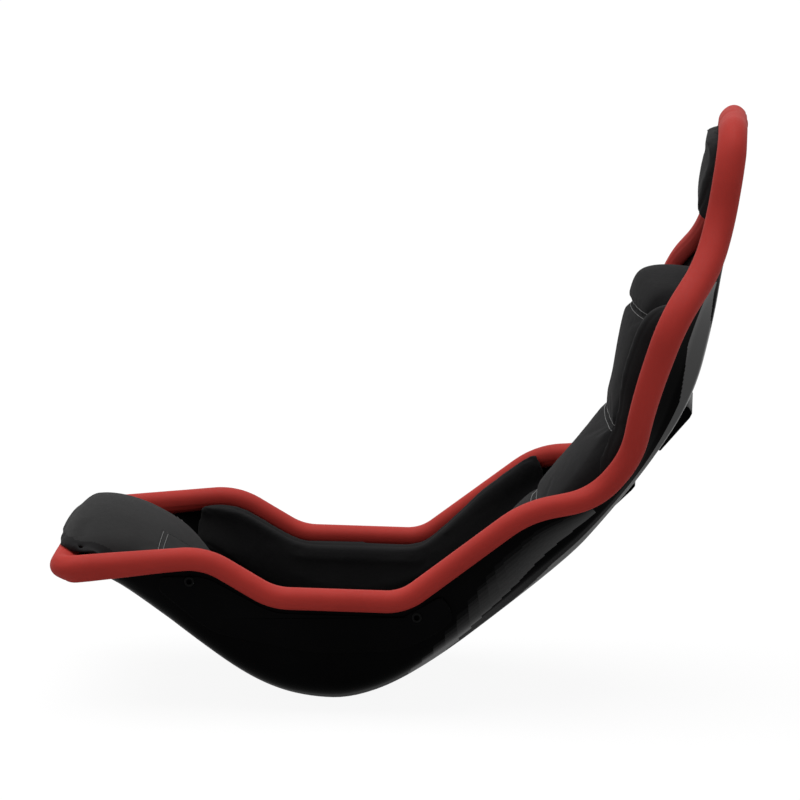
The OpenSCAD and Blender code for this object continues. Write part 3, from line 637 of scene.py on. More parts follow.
def build_side_lands(shell):
    """A flat land on each side that takes the two bolts, and the bores through it and the shell."""
    front = (CREST_P[0] - BOLT_BEHIND_CREST, CREST_P[1] - BOLT_BELOW_CREST)
    rear = step(front, SIDE_PITCH, SIDE_PITCH_SLOPE)
    drop = RIM_H / 2 + 5
    outline = [(front, -40, 6), (front, -44, -12), (front, 30, -72), (PAN_FRONT, 60, -78), (rear, -22, -48),
               (rear, 34, -18), (rear, 50, 0), (rear, 44, 20), (rear, 32, 30), (PAN_REAR, 0, -drop),
               (PAN_FRONT, 0, -drop), (CREST_P, 0, -drop - 5)]
    cuts = [6, 10, 30, 30, 22, 10, 8, 8, 6, 6, 20, 20]
    flat = np.array([(p[0] + x, p[1] + z) for p, x, z in outline])
    ring = []
    for i in range(len(flat)):
        A, B, C = flat[i - 1], flat[i], flat[(i + 1) % len(flat)]
        ra, rc = [min(.45, cuts[i] / np.linalg.norm(q - B)) for q in (A, C)]
        for t in np.linspace(-ra, rc, 7):
            ring.append(corner_point(A, B, C, np.array(ra), np.array(rc), np.array(t)))
    for side, tag in SIDES:
        near, far = [[(q[0], side * y, q[1]) for q in ring]
                     for y in (PAN_W - 1.5, PAN_W + WALL / 2 + SIDE_LAND)]
        land = prism(f"shell_side_land_{tag}", near, far)
        cut_bores(land, front, rear, side)
        bevel(land, 1.1, 3, 50)
        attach(land, ROOT)
        cut_bores(shell, front, rear, side)


def cut_bores(o, front, rear, side):
    for p in (front, rear):
        bm = bmesh.new()
        bmesh.ops.create_cone(bm, cap_ends=True, segments=48, depth=0.05,
                              radius1=BORE_R * MM, radius2=BORE_R * MM)
        me = bpy.data.meshes.new("bore")
        bm.to_mesh(me)
        bm.free()
        c = bpy.data.objects.new("bore", me)
        c.rotation_euler = (math.pi / 2, 0, 0)
        c.location = (p[0] * MM, side * PAN_W * MM, p[1] * MM)
        bpy.context.scene.collection.objects.link(c)
        m = o.modifiers.new("bore", "BOOLEAN")
        m.object, m.operation, m.solver = c, "DIFFERENCE", "FAST"
        apply_modifiers(o)
        bpy.data.objects.remove(c)


# ---------------- rim
RIM_POWER, RIM_SIDES = 2.2, 56                # roundness of the section: 2 is an ellipse, more is squarer
FRONT_SQUARER = 2.0                           # added to it at the front bar's outer side
SLOT_DEPTH, SLOT_ANGLE = 0.17, 0.17           # where the cover is drawn into the slot that takes the shell
SEAM_ANGLE, SEAM_DEPTH, SEAM_WIDTH = 1.12, 0.035, 0.045
FRONT_TILT, ARCH_TILT = math.radians(-22), math.radians(-43)
FRONT_WAY = np.array([math.cos(FRONT_TILT), 0, math.sin(FRONT_TILT)])


def arch_way(s, side):
    return np.array([math.cos(ARCH_TILT), -side * 0.9 * max(0, min(1, 13 - s)), math.sin(ARCH_TILT)])


def end_share(s):
    """How far the rim's section follows the end bars' own direction and not the shell's."""
    return max(0, min(1, (1.8 - s) / 0.8), min(1, (s - 12.1) / 0.5))


def build_rim():
    """The padded rim. Returns its line with the directions and half sizes of its section."""
    fine = refine(FEW, 6)
    loop = [(s, -4.0) for s in fine] + [(float(LAST), v) for v in np.linspace(-4, 4, 9)[1:-1]]
    loop += [(s, 4.0) for s in fine[::-1]] + [(0.0, v) for v in np.linspace(4, -4, 9)[1:-1]]
    q = np.array(loop)
    p = surf(q[:, 0], q[:, 1])
    n = len(p)
    t = unit(unit(np.roll(p, -1, 0) - p) + unit(p - np.roll(p, 1, 0)))
    d = []
    for k, (s, v) in enumerate(loop):
        side = 1 if v > 0 else -1 if v < 0 else 0
        share = end_share(s) if abs(v) == 4 else 1
        way = FRONT_WAY if s < LAST / 2 else arch_way(s, side)
        arm = (surf(s, side * 3.9) - p[k]) if abs(v) == 4 else way
        x = unit(arm) * (1 - share) + unit(way) * share
        d.append(unit(x - t[k] * (x @ t[k])))
    d = np.array(d)
    for _ in range(10):
        d = unit((np.roll(d, 1, 0) + 2 * d + np.roll(d, -1, 0)) / 4)
    d = unit(d - t * (d * t).sum(1, keepdims=True))
    nrm = np.cross(t, d)
    k = np.clip((np.arange(LAST + 1) - 7.3) / 1.7, 0, 1)
    tall = RIM_H + (RIM_HEAD_H - RIM_H) * k
    tall[1] = RIM_FRONT_H
    size = smooth(np.stack([tall, RIM_W + (RIM_HEAD_W - RIM_W) * k], 1) / 2, q[:, 0])
    m, verts = RIM_SIDES, []
    front = np.clip((1.7 - q[:, 0]) / 0.5, 0, 1)
    for i in range(n):
        for j in range(m):
            w = 2 * math.pi * j / m
            c, s_ = math.cos(w), math.sin(w)
            ex = RIM_POWER + (FRONT_SQUARER * front[i] if c > 0 else 0)
            r = (abs(c) ** ex + abs(s_) ** ex) ** (-1 / ex)
            a = math.atan2(s_, c)
            r *= 1 - SLOT_DEPTH * math.exp(-(a / SLOT_ANGLE) ** 2)
            for seam in (SEAM_ANGLE, -SEAM_ANGLE):
                r *= 1 - SEAM_DEPTH * math.exp(-((a - seam) / SEAM_WIDTH) ** 2)
            verts.append(p[i] + d[i] * size[i][0] * r * c + nrm[i] * size[i][1] * r * s_)
    rim = outward_faces(make("rim_cover", verts, ring_faces(n, m, True), RIM))
    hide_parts("rim_trim")
    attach(rim, ROOT)
    return p, t, d, nrm, size


# ---------------- pads
def edge_roll(a, p):
    return np.maximum(0, 1 - np.abs(2 * a - 1) ** p) ** (1 / 2.4)


def dome(a, k):
    return 1 - k * (2 * a - 1) ** 2


def eased(n):
    return (1 - np.cos(np.pi * np.arange(n + 1) / n)) / 2


STRIP, PLATE = 1.5, 1.5
PLATED = WALL / 2 + PLATE + STRIP + 0.8 + 3
LIFT = WALL / 2 + PAD_GAP
ALONG = np.linspace(0.02, 0.98, 220)
VOXEL, FREE_FROM = 5.0, 14                      # of the remesh; foam this thick moves freely


class Pad:
    """A closed pad between a base and a crown, both given over a (along) and b (across), 0 to 1."""

    def __init__(self, name, node_name, base, crown, n, m, slot="fabric", mat=CLOTH, shrink=2.0,
                 cap=6.0, fill=0.7, seams=()):
        self.base, self.crown, self.shrink, self.cap, self.seams = base, crown, shrink, cap, seams
        self.A, self.B = np.meshgrid(eased(n), eased(m), indexing="ij")
        self.B0, self.C0 = base(self.A, self.B), crown(self.A, self.B)
        n, m = n + 1, m + 1
        inner = np.ones((n, m), bool)
        inner[0], inner[-1], inner[:, 0], inner[:, -1] = False, False, False, False
        idx = np.arange(n * m).reshape(n, m)
        top = idx.copy()
        top[inner] = n * m + np.arange(inner.sum())
        pts = np.concatenate([self.B0.reshape(-1, 3), self.C0[inner]])
        faces = []
        for i in range(n - 1):
            for j in range(m - 1):
                faces.append((idx[i, j], idx[i + 1, j], idx[i + 1, j + 1], idx[i, j + 1]))
                faces.append((top[i, j], top[i, j + 1], top[i + 1, j + 1], top[i + 1, j]))
        self.obj = outward_faces(make(name, pts, faces, mat))
        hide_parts(node_name)

    def remesh(self):
        o = self.obj
        m = o.modifiers.new("remesh", "REMESH")
        m.mode, m.voxel_size, m.adaptivity = "VOXEL", VOXEL * MM, 0
        m.use_smooth_shade = True
        apply_modifiers(o)
        for _ in range(2):
            smooth_mesh(o, 0.5)
        co = coords_of(o)
        nr = normals_of(o)
        # where on the pad each point lies, and how free it is to be puffed
        nb = self.A.size
        near, _ = nearest(np.concatenate([self.B0.reshape(-1, 3), self.C0.reshape(-1, 3)]) * MM, co)
        self.on_base = near < nb
        k = np.where(near < nb, near, near - nb)
        self.va, self.vb = self.A.reshape(-1)[k], self.B.reshape(-1)[k]
        thick = np.linalg.norm(self.C0 - self.B0, axis=-1).reshape(-1)[k]
        self.free = np.where(self.on_base, 0, np.clip(thick / FREE_FROM, 0, 1))
        co = co - nr * (self.shrink * MM * self.free)[:, None]
        set_coords(o, co)
        self.rest = co

    def pin(self):
        w = np.where(self.on_base, 1.0, (1 - self.free) * 0.8)
        for f in self.seams:
            w = np.maximum(w, np.where(self.on_base, 0, f(self.va, self.vb)))
        g = self.obj.vertex_groups.new(name="pin")
        for lvl in np.unique(np.round(w, 2)):
            if lvl > 0:
                g.add([int(i) for i in np.where(np.round(w, 2) == lvl)[0]], float(lvl), "REPLACE")
        m = self.obj.modifiers.new("cloth", "CLOTH")
        c = m.settings
        c.quality, c.mass, c.effector_weights.gravity = 5, 0.3, 0
        c.use_pressure, c.uniform_pressure_force = True, 4
        c.tension_stiffness = c.compression_stiffness = 12
        c.shear_stiffness, c.bending_stiffness = 6, 0.8
        c.vertex_group_mass = "pin"
        m.collision_settings.use_collision = False
        m.collision_settings.use_self_collision = False

    def settle(self, simulated):
        """Take the simulated form with each point's move capped, then subdivide once."""
        o = self.obj
        if simulated:
            apply_modifiers(o)
            move = coords_of(o) - self.rest
            length = np.linalg.norm(move, axis=1, keepdims=True)
            set_coords(o, self.rest + move * np.minimum(1, self.cap * MM / np.maximum(length, 1e-9)))
        else:
            set_coords(o, coords_of(o) + normals_of(o) * (self.shrink * MM * self.free)[:, None])
        o.vertex_groups.clear()
        s = o.modifiers.new("sub", "SUBSURF")
        s.levels = s.render_levels = 1
        apply_modifiers(o)
        o.data.shade_smooth()
        self.tree()

    def tree(self):
        bm = bmesh.new()
        bm.from_mesh(self.obj.data)
        self.bvh = BVHTree.FromBMesh(bm)
        bm.free()

    def line(self, a, b):
        """Points and normals where the line a(t), b(t) meets the pad's outer face."""
        a, b = both(a, b)
        base, crown = self.base(a, b), self.crown(a, b)
        out, nrm = [], []
        for p0, p1 in zip(base, crown):
            way = p1 - p0
            L = np.linalg.norm(way)
            if L < 1:
                continue
            way = way / L
            start = Vector((p1 + way * 25) * MM)
            hit, normal, _, _ = self.bvh.ray_cast(start, Vector(-way), 0.12)
            if hit is None:
                continue
            out.append(np.array(hit) / MM)
            nrm.append(np.array(normal))
        return np.array(out), np.array(nrm)

    def edge_seam(self, b, depth):
        """A sunk seam all along the pad at b."""
        pts = self.line(ALONG, np.full_like(ALONG, b))[0]
        if len(pts):
            self.groove(pts, 1.8, depth)

    def groove(self, pts, width, depth):
        co, nr = coords_of(self.obj), normals_of(self.obj)
        d = nearest(np.asarray(pts) * MM, co)[1] / MM
        set_coords(self.obj, co - nr * (depth * MM * np.exp(-(d / width) ** 2))[:, None])


def nearest(points, queries):
    """Which of the points is nearest to each query, and how far it is."""
    kd = KDTree(len(points))
    for i, q in enumerate(points):
        kd.insert(q, i)
    kd.balance()
    found = [kd.find(q)[1:] for q in queries]
    return np.array([f[0] for f in found]), np.array([f[1] for f in found])


def read(items, what, width, kind=float):
    out = np.zeros(len(items) * width, kind)
    items.foreach_get(what, out)
    return out.reshape(-1, width)


def coords_of(o):
    return read(o.data.vertices, "co", 3)


def normals_of(o):
    return read(o.data.vertices, "normal", 3, np.float32).astype(float)


def set_coords(o, co):
    o.data.vertices.foreach_set("co", np.asarray(co, float).reshape(-1))
    o.data.update()


def smooth_mesh(o, k):
    e, co = read(o.data.edges, "vertices", 2, np.int32), coords_of(o)
    acc, cnt = np.zeros_like(co), np.zeros(len(co))
    for x, y in ((0, 1), (1, 0)):
        np.add.at(acc, e[:, x], co[e[:, y]])
        np.add.at(cnt, e[:, x], 1)
    set_coords(o, co * (1 - k) + acc / np.maximum(cnt, 1)[:, None] * k)


def shell_pad(s0, s1, edge, height, lift=LIFT, roll=7, flat=False):
    """Base and crown of a pad on the shell from s0 to s1, between two edges; flat: raised one way."""
    def place(a, b):
        s = s0 + ((s1(b) if callable(s1) else s1) - s0) * a
        e0, e1 = edge(a)
        return s, e0 * (1 - b) + e1 * b

    def base(a, b):
        a, b = both(a, b)
        s, v = place(a, b)
        return lifted(s, v, (lift(a) if callable(lift) else lift + 0 * a)[..., None])

    def crown(a, b):
        a, b = both(a, b)
        s, v = place(a, b)
        up = inward(s, np.zeros_like(s) if flat else v)
        return base(a, b) + up * (height(a, b) * edge_roll(a, roll) * edge_roll(b, roll))[..., None]
    return base, crown


def level(lo, hi):
    """Edges that stay at the same place across all along a pad."""
    return lambda a: (lo + 0 * a, hi + 0 * a)


def beside(side, v):
    return (-v, -2.02 + 0 * v) if side < 0 else (2.02 + 0 * v, v)


# side view of the thigh pad's top from its nose, behind and above the rim's front corner
THIGH_TOP = np.array([[-11, 17.5], [-21, 11], [-19, 25], [-7, 37], [9, 57], [46, 58], [86, 46], [117, 31],
                      [142, 14], [163, -12], [190, -52], [218, -98], [236, -128]], float)
WRAP = np.array([122, 106, 90, 60, 30], float)     # degrees round the front bar at the pad's first rows
THIGH_S = (1.3, 2.5)
ROWS, CORNER = 14, 40
NOSE_BOW, SIDE_FALL = 7, 25                        # at 100 and at 150 from the middle
BAR_R = RIM_W / 2 + 4
THIGH_W = FRONT_W - RIM_W / 2 - 10


def thigh_bow(y):
    """How far the thigh pad's front edge stands back at y: a bow with round corners."""
    dd = np.maximum(0, np.abs(y) - THIGH_W + CORNER)
    return NOSE_BOW * (y / 100) ** 2 + CORNER - np.sqrt(np.maximum(0, CORNER ** 2 - dd * dd))


def thigh_base(a, b):
    """Goes over the front bar, then down the shell's slope."""
    i = a * ROWS
    y = THIGH_W * (2 * b - 1)
    back = thigh_bow(y)
    bar_z = FRONT_CORNER[1] + FRONT_CROWN * np.minimum(1, (FRONT_W - np.abs(y)) / (FRONT_W - BAR_W))
    ang = np.radians(np.interp(i, np.arange(len(WRAP)), WRAP))
    x = FRONT_CORNER[0] + BAR_R * np.cos(ang) + back
    z = bar_z + BAR_R * np.sin(ang)
    d = x - FRONT_CORNER[0]
    z = np.where(np.abs(d) < BAR_R, np.maximum(z, bar_z + np.sqrt(np.maximum(0, BAR_R ** 2 - d * d))), z)
    over = np.stack([x, y, z], -1)
    k = len(WRAP)
    s = THIGH_S[0] + (THIGH_S[1] - THIGH_S[0]) * np.maximum(0, i - k) / (ROWS - k)
    v = np.interp(s, [1.35, 1.65], [1.95, 1.33]) * (2 * b - 1)
    under = lifted(s, v, LIFT)
    t = np.clip(i - (k - 1), 0, 1)[..., None]
    return over * (1 - t) + under * t


def thigh_crown(a, b):
    i = a * ROWS
    p = thigh_base(a, b)
    t = smooth(THIGH_TOP, (len(THIGH_TOP) - 1) * a)
    y = p[..., 1]
    x = FRONT_CORNER[0] + t[..., 0] + thigh_bow(y) * np.maximum(0, 1 - i / 5)
    fall = SIDE_FALL * np.clip((t[..., 0] + 15) / 32, 0.2, 1)
    least = p[..., 2] + 7 - 24 * np.clip(1.6 - i, 0, 1)
    z = np.maximum(least, FRONT_CORNER[1] + t[..., 1] - fall * (y / 150) ** 2)
    top = np.stack([x, y, z], -1)
    k = edge_roll(b, 14)[..., None]
    return p * (1 - k) + top * k


BACK_FOAM = np.array([61, 80, 78, 75, 81, 102, 112, 112, 107], float)
CHANNELS = [5.24, 7.06, 8.88]
BACK_S = (4.57, 9.6)


def back_end(b):
    """The pad's top edge is arched: lower at the sides than in the middle."""
    return BACK_S[1] - 0.25 * (2 * b - 1) ** 2


def back_a(s, b):
    return (s - BACK_S[0]) / (back_end(b) - BACK_S[0])


def back_s(a, b):
    return BACK_S[0] + (back_end(b) - BACK_S[0]) * a


def back_base(a, b):
    a, b = both(a, b)
    half = 1.2 + 0.3 * np.minimum(1, 2.5 * a)
    return lifted(back_s(a, b), half * (2 * b - 1), PLATED)


def back_crown(a, b):
    a, b = both(a, b)
    s = back_s(a, b)
    foam = smooth(BACK_FOAM, (len(BACK_FOAM) - 1) * a)
    sewn = np.max([np.exp(-((s - c) / 0.06) ** 2) for c in CHANNELS], axis=0)
    high = (foam - CHANNEL_DEPTH * sewn) * (1 - (0.3 + 0.1 * a + 0.18 * a ** 8) * np.abs(2 * b - 1) ** 1.6)
    up = inward(s, np.zeros_like(s))
    t = np.clip((s - 8.7) / 0.5, 0, 1)[..., None]
    up = unit(up * (1 - t) + np.array([-0.98, 0, 0.2]) * t)
    return back_base(a, b) + up * (high * edge_roll(a, 26) * edge_roll(b, 12))[..., None]


def band(x, at, width):
    return np.exp(-((x - at) / width) ** 2)


SIDE_TAPER = max(abs(FRONT_W - PAN_W) / THIGH_LEN,
                 abs(PAN_W - HIP_W) / (RAMP_LEN * math.cos(math.radians(RAMP_SLOPE))))
SIDE_LIFT = WALL / 2 + 2.2 + 17 * SIDE_TAPER + PLATE + STRIP + 1
SIDE_S = (1.75, 5.12)
ACROSS = np.array([0, 0.04, 0.15, 0.3, 0.42, 0.52, 0.68, 0.82, 0.95, 1])


def side_pad(side):
    """Lies on the wall, then leaves it and stands up inside the rim."""
    def place(a, b):
        s = SIDE_S[0] + (SIDE_S[1] - SIDE_S[0]) * a
        w = 3.55 - 0.4 * np.clip((s - 3.8) / 0.8, 0, 1)
        return s, w, np.interp(b, ACROSS, np.arange(10))

    def base(a, b):
        a, b = both(a, b)
        s, w, j = place(a, b)
        R = surf(s, 4.0 * side + 0 * s)
        up = unit(R - surf(s, 3.38 * side + 0 * s))
        top = -3 + 16 * np.clip((s - 4) / 0.5, 0, 1)
        wall = lifted(s, side * (2.02 + (w - 2.02) * np.clip(j / 5, 0, 1)), SIDE_LIFT)
        rows = [(RIM_W / 2 - 2, -RIM_H / 2 - 3 + 0 * s), (RIM_W / 2 + 2, -RIM_H / 4 - 1 + 0 * s),
                (RIM_W / 2 + 3, top - 3), (RIM_W / 2 + 3, top)]
        inn = np.array([0, -side, 0.0])
        free = [lifted(s, side * w, SIDE_LIFT)] + [R + inn * x + up * y[..., None] for x, y in rows]
        out = wall
        for k in range(4):
            t = np.clip(j - 5 - k, 0, 1)[..., None]
            out = np.where((j > 5 + k)[..., None], free[k] * (1 - t) + free[k + 1] * t, out)
        return out

    def crown(a, b):
        a, b = both(a, b)
        s, w, j = place(a, b)
        v = 2.02 + (w - 2.02) * np.clip(j / 5, 0, 1)
        thick = (SIDE_PAD - 2 * np.maximum(0, j - 5)) * edge_roll(a, 7) * edge_roll(b, 7)
        return base(a, b) + inward(s, side * v) * thick[..., None]
    return base, crown


HEAD_FOAM = np.array([1.08, 1.17, 1.03, 0.66, 0.38])


def head_lift(a):
    t = np.clip((a - 0.5) / 0.4, 0, 1)
    return LIFT + RIM_HEAD_W * 0.58 * t * t * (3 - 2 * t)


def clear_of_rim(o, rim, gap):
    """Push points of a pad that lie within the padded rim out of it."""
    p, t, d, nrm, size = rim
    co = coords_of(o) / MM
    near, _ = nearest(p, co)
    off = co - p[near]
    tn = t[near]
    along = (off * tn).sum(1, keepdims=True) * tn
    off = off - along
    c, s = (off * d[near]).sum(1), (off * nrm[near]).sum(1)
    reach = np.hypot(c, s)
    ca, sa = c / np.maximum(reach, 1e-6), s / np.maximum(reach, 1e-6)
    ex = RIM_POWER
    edge = (np.abs(ca / size[near, 0]) ** ex + np.abs(sa / size[near, 1]) ** ex) ** (-1 / ex) + gap
    scale = np.maximum(1, edge / np.maximum(reach, 1e-6))[:, None]
    set_coords(o, (p[near] + along + off * scale) * MM)


def risen(f):
    """The headrest's upper part stands up in front of the arch."""
    def g(a, b):
        up = 12 * np.clip((np.asarray(a) - 0.5) / 0.5, 0, 1) ** 1.3 + 0 * b
        return f(a, b) + np.array([0, 0, 1.0]) * up[..., None]
    return g


def bolster_end(side):
    """Station of a torso bolster's upper end, from one edge (0) to the other (1)."""
    return (lambda b: 9.3 - 0.05 * (1 - b)) if side < 0 else (lambda b: 9.24 - 0.28 * b)


RIM_GAP, THIGH_RIM_GAP, THIGH_SMOOTHING, CLOTH_FRAMES = 1.0, 1.5, 8, 18


def build_pads(rim):
    pads = {}
    channel_pins = [lambda a, b, c=c: band(back_s(a, b), c, 0.045) for c in CHANNELS]
    side_pins = [lambda a, b: band(np.abs(2 * b - 1), 0.93, 0.035)]
    pads["thigh"] = Pad("thigh_pad", "thigh_cushion", thigh_base, thigh_crown, 110, 90, "thigh_fabric", SUEDE,
                        shrink=1.0, cap=2.5, fill=0.8)
    b, c = shell_pad(2.55, 4.56, level(-1.7, 1.7), lambda a, b: SEAT_PAD * dome(b, 0.15), flat=True)
    pads["seat"] = Pad("seat_pad", "seat_cushion", b, c, 90, 70, shrink=2.5, cap=7.0)
    for side, tag in SIDES:
        b, c = side_pad(side)
        pads["side_" + tag] = Pad(f"side_pad_{tag}_cover", f"side_pad_{tag}", b, c, 130, 44)
    pads["back"] = Pad("back_pad", "back_cushion", back_base, back_crown, 200, 70, shrink=1.5, cap=4.0,
                       seams=channel_pins + side_pins)
    for side, tag in SIDES:
        b, c = shell_pad(6.3, bolster_end(side),
                         lambda a, side=side: beside(side, 2.5 + np.minimum(1, 1.7 * a)),
                         lambda a, b: BOLSTER_PAD * (0.96 + 0.1 * a), flat=True)
        pads["bolster_" + tag] = Pad(f"torso_bolster_{tag}_cover", f"torso_bolster_{tag}", b, c, 100, 40)
    b, c = shell_pad(10.8, 12.9, level(-2.5, 2.5),
                     lambda a, b: HEAD_PAD * smooth(HEAD_FOAM, 4 * a) * dome(b, 0.1), head_lift, 14, True)
    pads["head"] = Pad("headrest_cover", "headrest_pad", risen(b), risen(c), 80, 80,
                       seams=[lambda a, b: band(np.abs(2 * b - 1), 0.9, 0.03)])
    for p in pads.values():
        p.remesh()
    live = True
    if live:
        for p in pads.values():
            p.pin()
        for f in range(CLOTH_FRAMES):
            bpy.context.scene.frame_set(1 + f)
    for key, p in pads.items():
        p.settle(live)
        clear_of_rim(p.obj, rim, THIGH_RIM_GAP if key == "thigh" else RIM_GAP)
        if key == "thigh":
            for _ in range(THIGH_SMOOTHING):
                smooth_mesh(p.obj, 0.5)
            clear_of_rim(p.obj, rim, THIGH_RIM_GAP)
        p.tree()
        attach(p.obj, ROOT)
    if live:
        bpy.context.scene.frame_set(1)
    return pads


# ---------------- sewing
def resample(pts, nrm, pitch):
    pts, nrm = np.asarray(pts), np.asarray(nrm)
    L = np.concatenate([[0], np.cumsum(np.linalg.norm(np.diff(pts, axis=0), axis=1))])
    k = max(2, int(L[-1] / pitch))
    x = (np.arange(k) + 0.5) * L[-1] / k
    f = lambda arr: np.stack([np.interp(x, L, arr[:, j]) for j in range(3)], 1)
    return f(pts), unit(f(nrm)), L[-1] / k


STITCH = ((-1, -0.55), (-0.72, 0.05), (0, 0.22), (0.72, 0.05), (1, -0.55))
STITCH_LIFT = 0.1


def stitches(name, lines, pitch=4.2, share=0.74, radius=0.42, mat=THREAD):
    """One mesh of separate stitches along lines, each a pair of points and normals."""
    verts, faces = [], []
    for pts, nrm in lines:
        if len(pts) < 3:
            continue
        c, n, real = resample(pts, nrm, pitch)
        t = unit(np.gradient(c, axis=0))
        for k in range(len(c)):
            h = real * share / 2
            row = [c[k] + t[k] * x * h + n[k] * (STITCH_LIFT + y) for x, y in STITCH]
            v, f = tube(row, [radius * x for x in (0.55, 1, 1.05, 1, 0.55)], 6)
            o = len(verts)
            verts += v
            faces += [tuple(o + i for i in q) for q in f]
    o = outward_faces(make(name, verts, faces, mat))
    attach(o, ROOT)


# reach of the painted shade on the thigh pad: its top, its depth at the front, its width in from the sides
# and its rear end
THIGH_SHADE_TOP, THIGH_SHADE_FRONT, THIGH_SHADE_IN, THIGH_SHADE_END = 34, 12, 24, 110


def thigh_painted_shade(o):
    """The thigh pad's lower front and sides take the darker black cloth: painted shade on the faces below the
    lit top.
    """
    me = o.data
    me.materials.append(CLOTH)
    c = read(me.polygons, "center", 3) / MM
    x, y, z = c[:, 0] - FRONT_CORNER[0], np.abs(c[:, 1]), c[:, 2] - FRONT_CORNER[1]
    top = THIGH_SHADE_TOP - 0.22 * np.maximum(0, x - 40)
    # painted shade: the darker cloth below the lit top, at the front and along the sides
    low = (z < top) & ((x < THIGH_SHADE_FRONT) | (y > THIGH_W - THIGH_SHADE_IN)) & (x < THIGH_SHADE_END)
    me.polygons.foreach_set("material_index", low.astype(np.int32))
    me.update()


SEAM_OFF = 0.045                                # of the twin stitches from their channel, in stations
TWIN_A, TWIN_NEAR, TWIN_FAR = (0.612, 0.632), (0.13, 0.35), (0.36, 0.12)


def sew_back(back):
    across = np.linspace(0.035, 0.965, 90)
    for pts in [back.line(back_a(c, across), across)[0] for c in CHANNELS]:
        back.groove(pts, 2.6, 2.4)
    back.tree()
    twin = [back.line(back_a(c + off, across), across) for c in CHANNELS for off in (-SEAM_OFF, SEAM_OFF)]
    stitches("back_pad_stitching", twin)
    for b in (0.032, 0.968):
        back.edge_seam(b, 1.2)


def sew_head(head):
    t = np.linspace(0, 2 * math.pi, 240)
    rounded = lambda x: np.sign(x) * np.abs(x) ** 0.35
    pts, _ = head.line(0.5 + 0.44 * rounded(np.cos(t)), 0.5 + 0.455 * rounded(np.sin(t)))
    head.groove(pts, 2.0, 1.8)


def sew_thigh(thigh):
    """A twin seam across on each side, and a dashed one running back from the near one."""
    half = np.linspace(0, 1, 60)
    lines, dashed = [], []
    for side, (start, run) in ((-1, TWIN_NEAR), (1, TWIN_FAR)):
        b = 0.5 + side * (start + run * half)
        lines += [thigh.line(np.full_like(b, a), b) for a in TWIN_A]
    dashed.append(thigh.line(0.62 + 0.145 * half, 0.5 - (0.13 - 0.12 * half)))
    for pts, _ in lines[::2] + dashed:
        thigh.groove(pts, 1.6, 0.9)
    thigh.tree()
    thigh_painted_shade(thigh.obj)
    stitches("thigh_pad_stitching", lines, 3.6, 0.8, 0.38)
    stitches("thigh_pad_dashes", dashed, 6.0, 0.5, 0.5, THREAD_DARK)


def sew(pads):
    sew_back(pads["back"])
    sew_head(pads["head"])
    for b in (0.05, 0.95):
        pads["seat"].edge_seam(b, 1.2)
    for _, tag in SIDES:
        for key in ("side_", "bolster_"):
            for b in (0.07, 0.93):
                pads[key + tag].edge_seam(b, 1.0)
    sew_thigh(pads["thigh"])


# ---------------- camera, light and floor
VIEW_AZ, VIEW_EL, VIEW_DIST, VIEW_WIDTH = 4.3, 11.0, 6.0, 1.136     # degrees and metres
AIM = Vector((-0.0024, 0, 0.413))
SENSOR = 36
SUN_WAY, SUN_POWER, SUN_SPREAD = (-0.15, 0.05, 1), 2.5, 60
FILL_AT, FILL_AIM, FILL_SIZE, FILL_POWER = Vector((-2.6, -2.6, 1.6)), Vector((0, 0, 0.35)), 2.0, 4
WHITE = (1, 1, 1, 1)
WORLD_LIGHT, FLOOR_GLOW, FLOOR_GLOW_SHARE, FLOOR_GLOSSY_SHARE = 0.3, 1.15, 0.8, 0.35
FLOOR_HALF, FLOOR_BELOW = 40, 0.0005


def placed(name, data, way, loc=(0, 0, 0)):
    """A camera or light at loc with its back to the direction way."""
    o = bpy.data.objects.new(name, data)
    o.location = loc
    o.rotation_euler = Vector(way).to_track_quat("Z", "Y").to_euler()
    bpy.context.scene.collection.objects.link(o)
    return o


def mix_shaders(nt, fac, a, b, out):
    mix = node(nt, "ShaderNodeMixShader")
    for k, x in enumerate((fac, a.outputs[0], b.outputs[0])):
        nt.links.new(x, mix.inputs[k])
    nt.links.new(mix.outputs[0], nt.nodes[out].inputs["Surface"])


def build_world():
    """White for the camera and in reflections, dimmer as a source of light."""
    world = bpy.data.worlds.new("world")
    world.use_nodes = True
    nt = world.node_tree
    dim = nt.nodes["Background"]
    dim.inputs["Color"].default_value, dim.inputs["Strength"].default_value = WHITE, WORLD_LIGHT
    white = node(nt, "ShaderNodeBackground", Color=WHITE, Strength=1.0)
    rays = node(nt, "ShaderNodeLightPath").outputs
    seen = math_node(nt, "MAXIMUM", rays["Is Camera Ray"], rays["Is Glossy Ray"])
    mix_shaders(nt, seen, dim, white, "World Output")
    return world


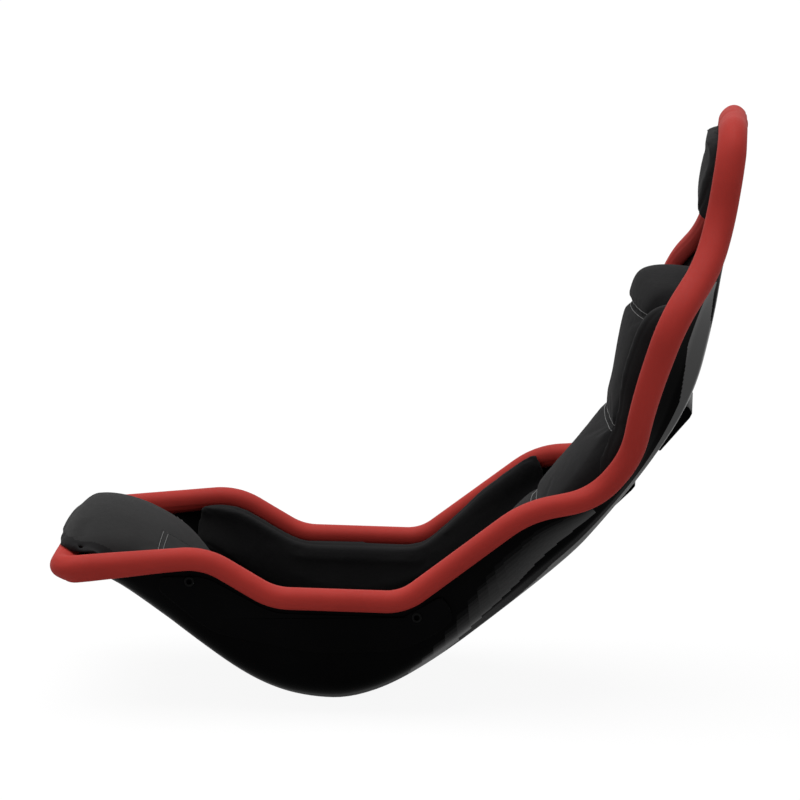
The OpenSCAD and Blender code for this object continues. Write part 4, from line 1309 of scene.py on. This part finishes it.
def build_floor():
    mat, nt, b = new_material("floor_white", (0.45, 0.45, 0.45), 0.9, Specular_IOR_Level=0.1)
    glow = node(nt, "ShaderNodeEmission", Color=WHITE, Strength=FLOOR_GLOW)
    rays = node(nt, "ShaderNodeLightPath").outputs
    gloss = math_node(nt, "MULTIPLY", rays["Is Glossy Ray"], FLOOR_GLOSSY_SHARE)
    seen = math_node(nt, "MAXIMUM", rays["Is Camera Ray"], gloss)
    mix_shaders(nt, math_node(nt, "MULTIPLY", seen, FLOOR_GLOW_SHARE), b, glow, "Material Output")
    corners = [(x * FLOOR_HALF, y * FLOOR_HALF, 0) for x, y in ((-1, -1), (1, -1), (1, 1), (-1, 1))]
    floor = make("floor", corners, [(0, 1, 2, 3)], mat, False, 1.0)
    floor.location.z = CAD_BOX[0][2] - FLOOR_BELOW


def stage():
    scene = bpy.context.scene
    az, el = math.radians(VIEW_AZ), math.radians(VIEW_EL)
    back = Vector((math.sin(az) * math.cos(el), -math.cos(az) * math.cos(el), math.sin(el)))
    cam = bpy.data.cameras.new("camera")
    cam.sensor_fit, cam.sensor_width = "HORIZONTAL", SENSOR
    cam.lens = SENSOR * VIEW_DIST / VIEW_WIDTH
    cam.clip_end = 100
    scene.camera = placed("camera", cam, back, AIM + back * VIEW_DIST)
    scene.view_settings.view_transform = "Standard"
    sun = bpy.data.lights.new("key_light", "SUN")
    sun.energy, sun.angle = SUN_POWER, math.radians(SUN_SPREAD)
    placed("key_light", sun, SUN_WAY)
    fill = bpy.data.lights.new("fill_light", "AREA")
    fill.shape, fill.size, fill.size_y, fill.energy = "RECTANGLE", FILL_SIZE, FILL_SIZE, FILL_POWER
    placed("fill_light", fill, FILL_AT - FILL_AIM, FILL_AT)
    scene.world = build_world()
    build_floor()


def dress_cad_nodes():
    for name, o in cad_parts.items():
        if "hook_strips" in name:
            mat = HOOK
        elif "inserts" in name and "side" in name:
            mat = OXIDE
        elif "plate" in name or "inserts" in name:
            mat = STEEL
        else:
            continue
        o.data.materials.clear()
        o.data.materials.append(mat)


build_shell()
RING = build_rim()
PADS = build_pads(RING)
sew(PADS)
dress_cad_nodes()
stage()
